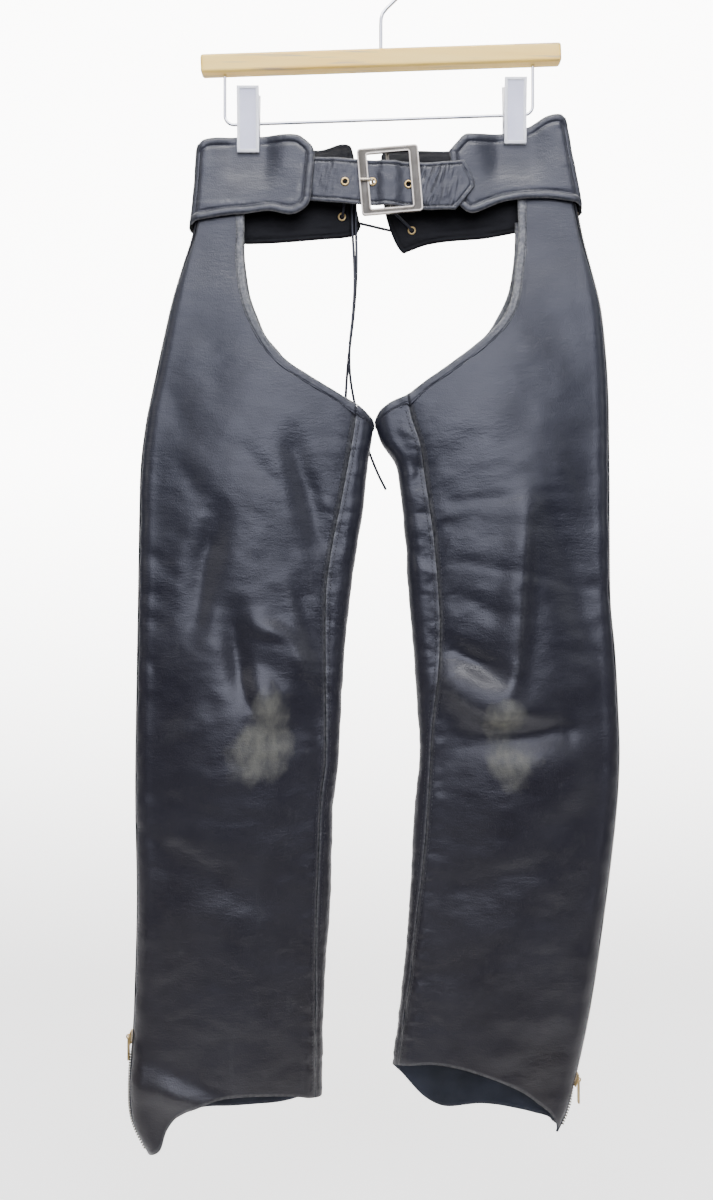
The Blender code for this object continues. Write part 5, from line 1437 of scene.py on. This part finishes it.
def stitch_leg(side):
    """Rows of stitches down both panels, beside the inseam and beside the zip."""
    for face in FACES:
        for seam, inset, start, short in (
            ("inseam", INSEAM_STITCH_INSET, OPENING_FRONT[side][-1][1] + 16, 6),
            ("zip", ZIP_STITCH_INSET, 325, 26),
        ):
            from_zip = seam == "zip"
            drops = np.arange(start, hem_end(side, face, from_zip) - short, 1.2)
            points, normals = leg_line(side, face, inset, from_zip, drops)
            places, runs, ups = even_marks(points, LEG_STITCH_PITCH, normals)
            sew(f"stitches_{seam}_{face}_{side}", places, runs, unit(ups), LEG_WALL / 2 - 0.35)


def stitch_bound_edge(side, face, line):
    around, drop = line.T
    points = surface(side, around, drop)
    step = 3 / section(side, drop, True)["girth"]
    over = surface(side, around + step, drop) - surface(side, around - step, drop)
    down = surface(side, around, drop + 2) - surface(side, around, drop - 2)
    normal = unit(np.cross(over, down))
    normal = normal * np.sign(normal[len(normal) // 2, 1]) * FACES[face]
    sewn = slice(4, -2)
    marks = even_marks(points[sewn], STITCH_PITCH, normal[sewn])
    sew(f"stitches_opening_{face}_{side}", *marks, BINDING_WALL / 2 * 0.72)


def stitch_yoke(side, face, points):
    """Border stitching inside the yoke's edge: along the top and back along the foot."""
    inside = edge_distance(points)[0] >= YOKE_STITCH_INSET
    sewn = np.flatnonzero(inside.any(axis=0))
    top = inside[:, sewn].argmax(axis=0)
    foot = len(inside) - 1 - inside[::-1, sewn].argmax(axis=0)
    border = np.vstack([points[top, sewn], points[foot, sewn][::-1]])
    for _ in range(3):
        border[1:-1] = (border[:-2] + 2 * border[1:-1] + border[2:]) / 4
    places, runs, ups = even_marks(border, STITCH_PITCH, (0, FACES[face], 0))
    turn = np.clip((abs(places[:, 0]) - abs(points[20, 0, 0]) + 9) / 9, 0, 1)
    ups[:, 0] = turn * SIDES[side]
    ups[:, 1] *= 1.001 - turn
    sew(f"stitches_yoke_{face}_{side}", places, runs, ups, YOKE_WALL / 2 * 0.70)


def make_zip_teeth(side, face):
    """Metal teeth along one half of the zip. They stand prouder where the zip is open."""
    start = LEG_SIDE_TOP[side] + 12 + (0 if face == "front" else TOOTH_PITCH / 2)
    drops = np.arange(start, hem_end(side, face, True) - 4, TOOTH_PITCH)
    around = TOOTH_REACH / section(side, drops, True)["girth"]
    around = around if face == "front" else 2 - around
    runs = surface(side, around, drops + 1) - surface(side, around, drops - 1)
    outward = np.tile((SIDES[side], 0.0, 0.0), (len(drops), 1))
    slider = ZIP_SLIDER_DROP[side]
    proud = 0.35 + 1.5 * ease(slider + 8, slider + 24, drops)[:, None]
    places = surface(side, around, drops) + outward * proud
    small_pieces(f"zip_teeth_{face}_{side}", places, runs, outward, TOOTH, brass_teeth)


for leg in SIDES:
    for panel in FACES:
        make_leg(leg, panel)
        stitch_bound_edge(leg, panel, make_bound_edge(leg, panel))
        make_zip_tape(leg, panel)
        make_zip_teeth(leg, panel)
        stitch_yoke(leg, panel, make_yoke(leg, panel))
    stitch_leg(leg)
strap_marks = even_marks(make_belt_strap(), STRAP_STITCH_PITCH, (0, -1, 0))
sew("stitches_strap", *strap_marks, STRAP_WALL / 2 * 0.75)
make_buckle_strap()


# The lace, the metal fittings and the hanger.


def make_lace():
    held = thong("lace_thong", even_route(as_points(LACE_HELD), 2.1), LACE_RADIUS, 3)
    held.data.materials.append(thong_leather)
    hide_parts("lace")
    turns = []
    for step in range(73):
        angle = 2 * math.pi * 3 * step / 72
        wide = 2.6 + 0.5 * math.cos(angle * 2 / 3)
        turns.append((
            KNOT[0] + wide * math.cos(angle), KNOT[1] + 1.6 * math.sin(angle * 4 / 3),
            -KNOT[2] + (wide - 0.3) * math.sin(angle),
        ))
    knot = thong("lace_knot_turns", turns, LACE_RADIUS, 3)
    knot.data.materials.append(thong_leather)
    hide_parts("lace_knot")


def turned(name, profile, steps, middle, axis, material):
    """A closed profile of (radius, height) spun about its axis, then set in its place."""
    mesh = bpy.data.meshes.new(name)
    count = len(profile)
    mesh.from_pydata(
        [(radius * MM, 0, height * MM) for radius, height in profile],
        [(k, (k + 1) % count) for k in range(count)], [],
    )
    piece = link(name, mesh)
    only(piece)
    bpy.ops.object.mode_set(mode="EDIT")
    bpy.ops.mesh.select_all(action="SELECT")
    bpy.ops.mesh.spin(steps=steps, angle=2 * math.pi, center=(0, 0, 0), axis=(0, 0, 1))
    bpy.ops.mesh.select_all(action="SELECT")
    bpy.ops.mesh.remove_doubles(threshold=0.00001)
    bpy.ops.mesh.normals_make_consistent(inside=False)
    bpy.ops.object.mode_set(mode="OBJECT")
    turn = Vector(axis).to_track_quat("Z", "Y").to_matrix().to_4x4()
    mesh.transform(Matrix.Translation(Vector(middle) * MM) @ turn)
    bpy.ops.object.shade_smooth_by_angle(angle=math.radians(40))
    bpy.ops.object.select_all(action="DESELECT")
    mesh.materials.append(material)
    return piece


def eyelet_profile(wall):
    """A rolled flange on either face, joined by a thin barrel."""
    reach = wall / 2 + 0.1
    face = [(2.5, reach + 0.25), (2.75, reach + 0.75), (3.3, reach + 0.95), (3.9, reach + 0.8), (4.35, reach + 0.35)]
    face.append((4.4, reach - 0.1))
    upper = face + [(3.0, reach - 0.2)]
    lower = [(radius, -height) for radius, height in reversed(upper)]
    return upper + lower


def make_eyelets():
    for index, (x, drop) in enumerate(STRAP_EYELETS):
        keys = [(row[0], strap_y(row[0], row[3])) for row in STRAP]
        y = float(np.interp(x, [k[0] for k in keys], [k[1] for k in keys]))
        ring = turned(
            f"strap_eyelet_{index + 1}_ring", eyelet_profile(STRAP_WALL), 30, (x, y, -drop), (0, -1, 0), brass,
        )
        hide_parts(f"strap_eyelet_{index + 1}")
    for side, (x, drop) in BACK_EYELETS.items():
        around = float(around_at(side, x, drop, "back", False))
        middle = surface(side, around, drop, False)
        over = surface(side, around + 0.01, drop, False) - surface(side, around - 0.01, drop, False)
        down = surface(side, around, drop + 2, False) - surface(side, around, drop - 2, False)
        normal = np.cross(over, down)
        ring = turned(f"back_eyelet_{side}_ring", eyelet_profile(YOKE_WALL), 30, middle, normal, brass)
        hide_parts(f"back_eyelet_{side}")


def start_block(name, size, body="chaps"):
    """A block of the given size in millimetres, at the origin, ready to be shaped."""
    bpy.ops.object.select_all(action="DESELECT")
    bpy.ops.mesh.primitive_cube_add(size=1)
    piece = bpy.context.active_object
    piece.name = name
    piece.data.name = name
    piece.scale = [length * MM for length in size]
    bpy.ops.object.transform_apply(location=True, rotation=True, scale=True)
    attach(piece, body)
    return piece


def pick(piece, kind, test):
    """Selects the faces or edges whose middle and direction pass a test, and nothing else."""
    bpy.ops.mesh.select_mode(type=kind)
    bpy.ops.mesh.select_all(action="DESELECT")
    shape = bmesh.from_edit_mesh(piece.data)
    if kind == "FACE":
        for face in shape.faces:
            face.select_set(bool(test(face.calc_center_median() / MM, face.normal)))
    else:
        for edge in shape.edges:
            ends = [vert.co for vert in edge.verts]
            run = (ends[1] - ends[0]).normalized()
            edge.select_set(bool(test((ends[0] + ends[1]) / 2 / MM, run)))
    bmesh.update_edit_mesh(piece.data)


def finish_block(piece, bevel, material, segments=2, angle=30):
    bpy.ops.object.mode_set(mode="OBJECT")
    edge = piece.modifiers.new("edges", "BEVEL")
    edge.width = bevel * MM
    edge.segments = segments
    edge.limit_method = "ANGLE"
    edge.angle_limit = math.radians(angle)
    apply_modifiers(piece)
    only(piece)
    bpy.ops.object.shade_smooth_by_angle(angle=math.radians(38))
    bpy.ops.object.select_all(action="DESELECT")
    piece.data.materials.clear()
    piece.data.materials.append(material)


def place_piece(piece, middle, turn=0.0):
    """Moves a finished piece's mesh to its place; the turn is about the y axis."""
    piece.data.transform(Matrix.Translation(Vector(middle) * MM) @ Matrix.Rotation(turn, 4, "Y"))


def make_buckle_frame():
    """The buckle's cast frame: square corners, bevelled bars with a sunk groove round the front."""
    frame_piece = start_block("buckle_frame_cast", (BUCKLE_WIDTH, BUCKLE_THICKNESS, BUCKLE_HEIGHT))
    bpy.ops.object.mode_set(mode="EDIT")
    pick(frame_piece, "FACE", lambda middle, normal: abs(normal.y) > 0.9)
    bpy.ops.mesh.inset(thickness=BUCKLE_END_BAR * MM, depth=0)
    narrow = (BUCKLE_WIDTH - 2 * BUCKLE_SIDE_BAR) / (BUCKLE_WIDTH - 2 * BUCKLE_END_BAR)
    bpy.ops.transform.resize(value=(narrow, 1, 1))
    bpy.ops.mesh.bridge_edge_loops()
    pick(frame_piece, "EDGE", lambda middle, run: abs(run.y) > 0.9 and abs(middle.x) > 25)
    bpy.ops.mesh.bevel(offset=3.4 * MM, segments=5)
    pick(frame_piece, "EDGE", lambda middle, run: abs(run.y) > 0.9 and abs(middle.x) < 22)
    bpy.ops.mesh.bevel(offset=1.4 * MM, segments=3)
    pick(frame_piece, "FACE", lambda middle, normal: normal.y < -0.9)
    bpy.ops.mesh.inset(thickness=1.3 * MM, depth=0)
    bpy.ops.mesh.inset(thickness=0.5 * MM, depth=-0.7 * MM)
    finish_block(frame_piece, 0.4, nickel, 2)
    # The sunk groove round the front takes a much darker nickel.
    frame_piece.data.materials.append(dark_groove_nickel)
    for groove in frame_piece.data.polygons:
        sunk = groove.normal.y < -0.95 and groove.center.y > (-BUCKLE_THICKNESS / 2 + 0.4) * MM
        groove.material_index = 1 if sunk else 0
    place_piece(frame_piece, (BUCKLE_X, BUCKLE_Y, -BUCKLE_DROP), -BUCKLE_TILT)
    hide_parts("buckle_frame")


def make_clip(side, face):
    """A moulded clip jaw: the lever and jaw in one, with a sunk panel between two side ribs."""
    grip = PINCH_DEPTH + YOKE_WALL / 2 + GAP
    groove = CLIP_WIRE + 0.9
    profile = (
        (-12.5, CLIP_LEVER_TOP), (-9.8, CLIP_LEVER_TOP), (-3.2, 8), (-GAP / 2, 4.5), (-GAP / 2, groove),
        (-groove * 0.75, groove * 0.7), (-groove, 0), (-groove * 0.75, -groove * 0.7),
        (-GAP / 2, -groove), (-GAP / 2, -4.5), (-5.6, -10), (-5.6, 5 - CLIP_JAW_FOOT),
        (-grip, 3 - CLIP_JAW_FOOT), (-grip, -CLIP_JAW_FOOT), (-7.6, -CLIP_JAW_FOOT),
        (-8.6, 5 - CLIP_JAW_FOOT), (-8.4, 2), (-8.8, 8),
    )
    way = 1 if face == "front" else -1
    mesh = bpy.data.meshes.new(f"clip_{face}_{side}_moulded")
    start = -CLIP_WIDTH / 2
    mesh.from_pydata([(start * MM, way * y * MM, z * MM) for y, z in profile], [], [list(range(len(profile)))])
    piece = link(f"clip_{face}_{side}_moulded", mesh)
    only(piece)
    bpy.ops.object.mode_set(mode="EDIT")
    bpy.ops.mesh.select_all(action="SELECT")
    bpy.ops.mesh.extrude_region_move(TRANSFORM_OT_translate={"value": (CLIP_WIDTH * MM, 0, 0)})
    bpy.ops.mesh.select_all(action="SELECT")
    bpy.ops.mesh.normals_make_consistent(inside=False)
    pick(piece, "FACE", lambda middle, normal: way * normal.y < -0.8 and way * middle.y < -7.5)
    bpy.ops.mesh.inset(thickness=2.6 * MM, depth=0)
    bpy.ops.mesh.inset(thickness=0.5 * MM, depth=-0.9 * MM)
    finish_block(piece, 0.35, plastic, 2)
    # The sunk panel takes the greyer plastic as painted shade.
    mesh.materials.append(shaded_panel_plastic)
    for panel_face in mesh.polygons:
        reach = max(abs(mesh.vertices[k].co.x) for k in panel_face.vertices)
        sunk = reach < (CLIP_WIDTH / 2 - 2.8) * MM and way * panel_face.normal.y < -0.8
        panel_face.material_index = 1 if sunk else 0
    share = (CLIP_X[side] - CLIP_WIRE_LEFT[0]) / (CLIP_WIRE_RIGHT[0] - CLIP_WIRE_LEFT[0])
    place_piece(piece, (CLIP_X[side], 0, -blend(CLIP_WIRE_LEFT[1], CLIP_WIRE_RIGHT[1], share)))
    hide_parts(f"clip_{face}_{side}")


def make_hanger_wires():
    """The polished hook and the wire that carries the clips."""
    centre = HOOK_WIRE - HOOK_RADIUS
    points = []
    for step in range(41):
        angle = math.radians(blend(HOOK_ENDS[1], HOOK_ENDS[0], step / 40))
        points.append((HOOK_RADIUS * math.cos(angle), 0, centre + HOOK_RADIUS * math.sin(angle)))
    points += [(9.5, 0, -38.6), (5.4, 0, -42.6), (1.8, 0, -47.2), (0.2, 0, -52.5), (0, 0, -60)]
    points.append((0, 0, -BAR_DROP))
    hook = thong("hanger_hook_wire", points, HOOK_WIRE, 5)
    left = Vector((CLIP_WIRE_LEFT[0], 0, -CLIP_WIRE_LEFT[1]))
    right = Vector((CLIP_WIRE_RIGHT[0], 0, -CLIP_WIRE_RIGHT[1]))
    line = [Vector((left.x, 0, -BAR_DROP - 7))]
    for corner, start in ((left, math.pi), (right, 1.5 * math.pi)):
        inwards = 1 if corner is left else -1
        middle = corner + Vector((inwards * CLIP_WIRE_CORNER, 0, CLIP_WIRE_CORNER))
        for step in range(9):
            angle = start + math.pi / 2 * step / 8
            line.append(middle + Vector((math.cos(angle), 0, math.sin(angle))) * CLIP_WIRE_CORNER)
    line.append(Vector((right.x, 0, -BAR_DROP + 3)))
    rail = thong("hanger_wire_bent", line, CLIP_WIRE, 5)
    for piece, node in ((hook, "hanger_hook"), (rail, "hanger_wire")):
        piece.data.materials.append(chrome)
        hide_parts(node)


make_eyelets()
make_buckle_frame()
for leg in SIDES:
    for panel in ("front", "back"):
        make_clip(leg, panel)
make_hanger_wires()
make_lace()
FINISHES = {
    "brass": brass, "nickel": nickel, "chrome": chrome, "wood": wood, "plastic": plastic,
}
for entry in frame["record"]["subparts"]:
    # The prong takes the paler nickel as painted light.
    finish = lit_prong_nickel if entry["node"] == "buckle_prong" else FINISHES.get(entry["material_slot"])
    if finish is not None:
        node_object = bpy.data.objects[entry["node"]]
        for slot in node_object.material_slots:
            slot.material = finish
        if not node_object.material_slots:
            node_object.data.materials.append(finish)


# Floor, lights and backdrop.


def make_sweep():
    """A pale floor that curves up into a wall behind the chaps; for the camera it glows, brighter higher up, as
    painted light.
    """
    profile = [(-0.55, FLOOR_LEVEL), (0.9, FLOOR_LEVEL)]
    for step in range(1, 13):
        angle = math.pi / 2 * step / 12
        profile.append((0.9 + 0.7 * math.sin(angle), FLOOR_LEVEL + 0.7 * (1 - math.cos(angle))))
    profile.append((1.6, 2.2))
    points = np.array([[(x, y, z) for x in (-3.2, 3.2)] for y, z in profile])
    mesh = bpy.data.meshes.new("sweep")
    verts = points.reshape(-1, 3).tolist()
    faces = [(2 * i, 2 * i + 1, 2 * i + 3, 2 * i + 2) for i in range(len(profile) - 1)]
    mesh.from_pydata(verts, [], faces)
    mesh.shade_smooth()
    material, nodes, shader = new_material("pale floor", (0.86, 0.845, 0.83), 0.85)
    shade = ramp(nodes, object_noise(nodes, 2.0, 3), ((0.3, (0.85, 0.835, 0.82)), (0.7, (0.88, 0.865, 0.85))))
    nodes.join(shade, shader.inputs["Base Color"])
    # The wall looks as bright as in the photograph, without more light on the chaps.
    shader.inputs["Emission Color"].default_value = (1.0, 0.985, 0.96, 1)
    # Painted light: a glow seen by the camera alone, stronger higher up the sweep.
    place = nodes.add("ShaderNodeTexCoord").outputs["Object"]
    split = nodes.add("ShaderNodeSeparateXYZ", Vector=place)
    brighter_above = nodes.add(
        "ShaderNodeMapRange", Value=split.outputs["Z"],
        From_Min=FLOOR_LEVEL, From_Max=-0.3, To_Min=1.2, To_Max=9.0,
    )
    seen = nodes.add("ShaderNodeLightPath").outputs["Is Camera Ray"]
    glow = maths(nodes, "MULTIPLY", seen, brighter_above.outputs["Result"])
    nodes.join(glow, shader.inputs["Emission Strength"])
    # From behind, the sweep lets the view through, so the chaps' back can be seen.
    clear = nodes.add("ShaderNodeBsdfTransparent")
    one_sided = nodes.add("ShaderNodeMixShader")
    nodes.join(nodes.add("ShaderNodeNewGeometry").outputs["Backfacing"], one_sided.inputs[0])
    nodes.join(shader.outputs[0], one_sided.inputs[1])
    nodes.join(clear.outputs[0], one_sided.inputs[2])
    nodes.join(one_sided.outputs[0], material.node_tree.nodes["Material Output"].inputs["Surface"])
    mesh.materials.append(material)
    sweep = bpy.data.objects.new("sweep", mesh)
    bpy.context.scene.collection.objects.link(sweep)


def soft_box(name, place, target, size, power, colour=(1, 1, 1)):
    data = bpy.data.lights.new(name, "AREA")
    data.shape = "RECTANGLE"
    data.size, data.size_y = size
    data.energy = power
    data.color = colour
    lamp = bpy.data.objects.new(name, data)
    lamp.location = place
    lamp.visible_camera = False
    lamp.rotation_euler = (Vector(target) - Vector(place)).to_track_quat("-Z", "Y").to_euler()
    bpy.context.scene.collection.objects.link(lamp)


make_sweep()
soft_box("high_box", (0, -2.3, 0.35), (0, 0, -0.4), (2.4, 1.9), 77, (0.80, 0.83, 1.0))
soft_box("near_box", (0, -0.6, 0.6), (0, 0, -0.12), (1.0, 0.3), 17, (0.97, 0.97, 1.0))
soft_box("left_box", (-2.0, -0.9, 0.3), (0, 0, -0.5), (0.9, 1.4), 8, (1.0, 0.98, 0.96))
soft_box("right_box", (2.0, -0.8, 0.3), (0, 0, -0.5), (0.9, 1.4), 8, (0.93, 0.96, 1.0))
soft_box("wall_box", (0, 0.35, 1.6), (0, 1.6, -0.6), (3.6, 0.8), 80)
soft_box("floor_box", (0, 0.3, 0.9), (0, 0.9, -1.36), (3.0, 0.6), 20)
world = bpy.data.worlds.new("soft room")
world.use_nodes = True
room = Nodes(world.node_tree)
dim = world.node_tree.nodes["Background"]
dim.inputs["Color"].default_value = (0.93, 0.95, 1.0, 1)
dim.inputs["Strength"].default_value = 0.1
pale = room.add("ShaderNodeBackground", Strength=3.0)
either = room.add("ShaderNodeMixShader")
room.join(room.add("ShaderNodeLightPath").outputs["Is Camera Ray"], either.inputs[0])
room.join(dim.outputs[0], either.inputs[1])
room.join(pale.outputs[0], either.inputs[2])
room.join(either.outputs[0], world.node_tree.nodes["World Output"].inputs["Surface"])
bpy.context.scene.world = world
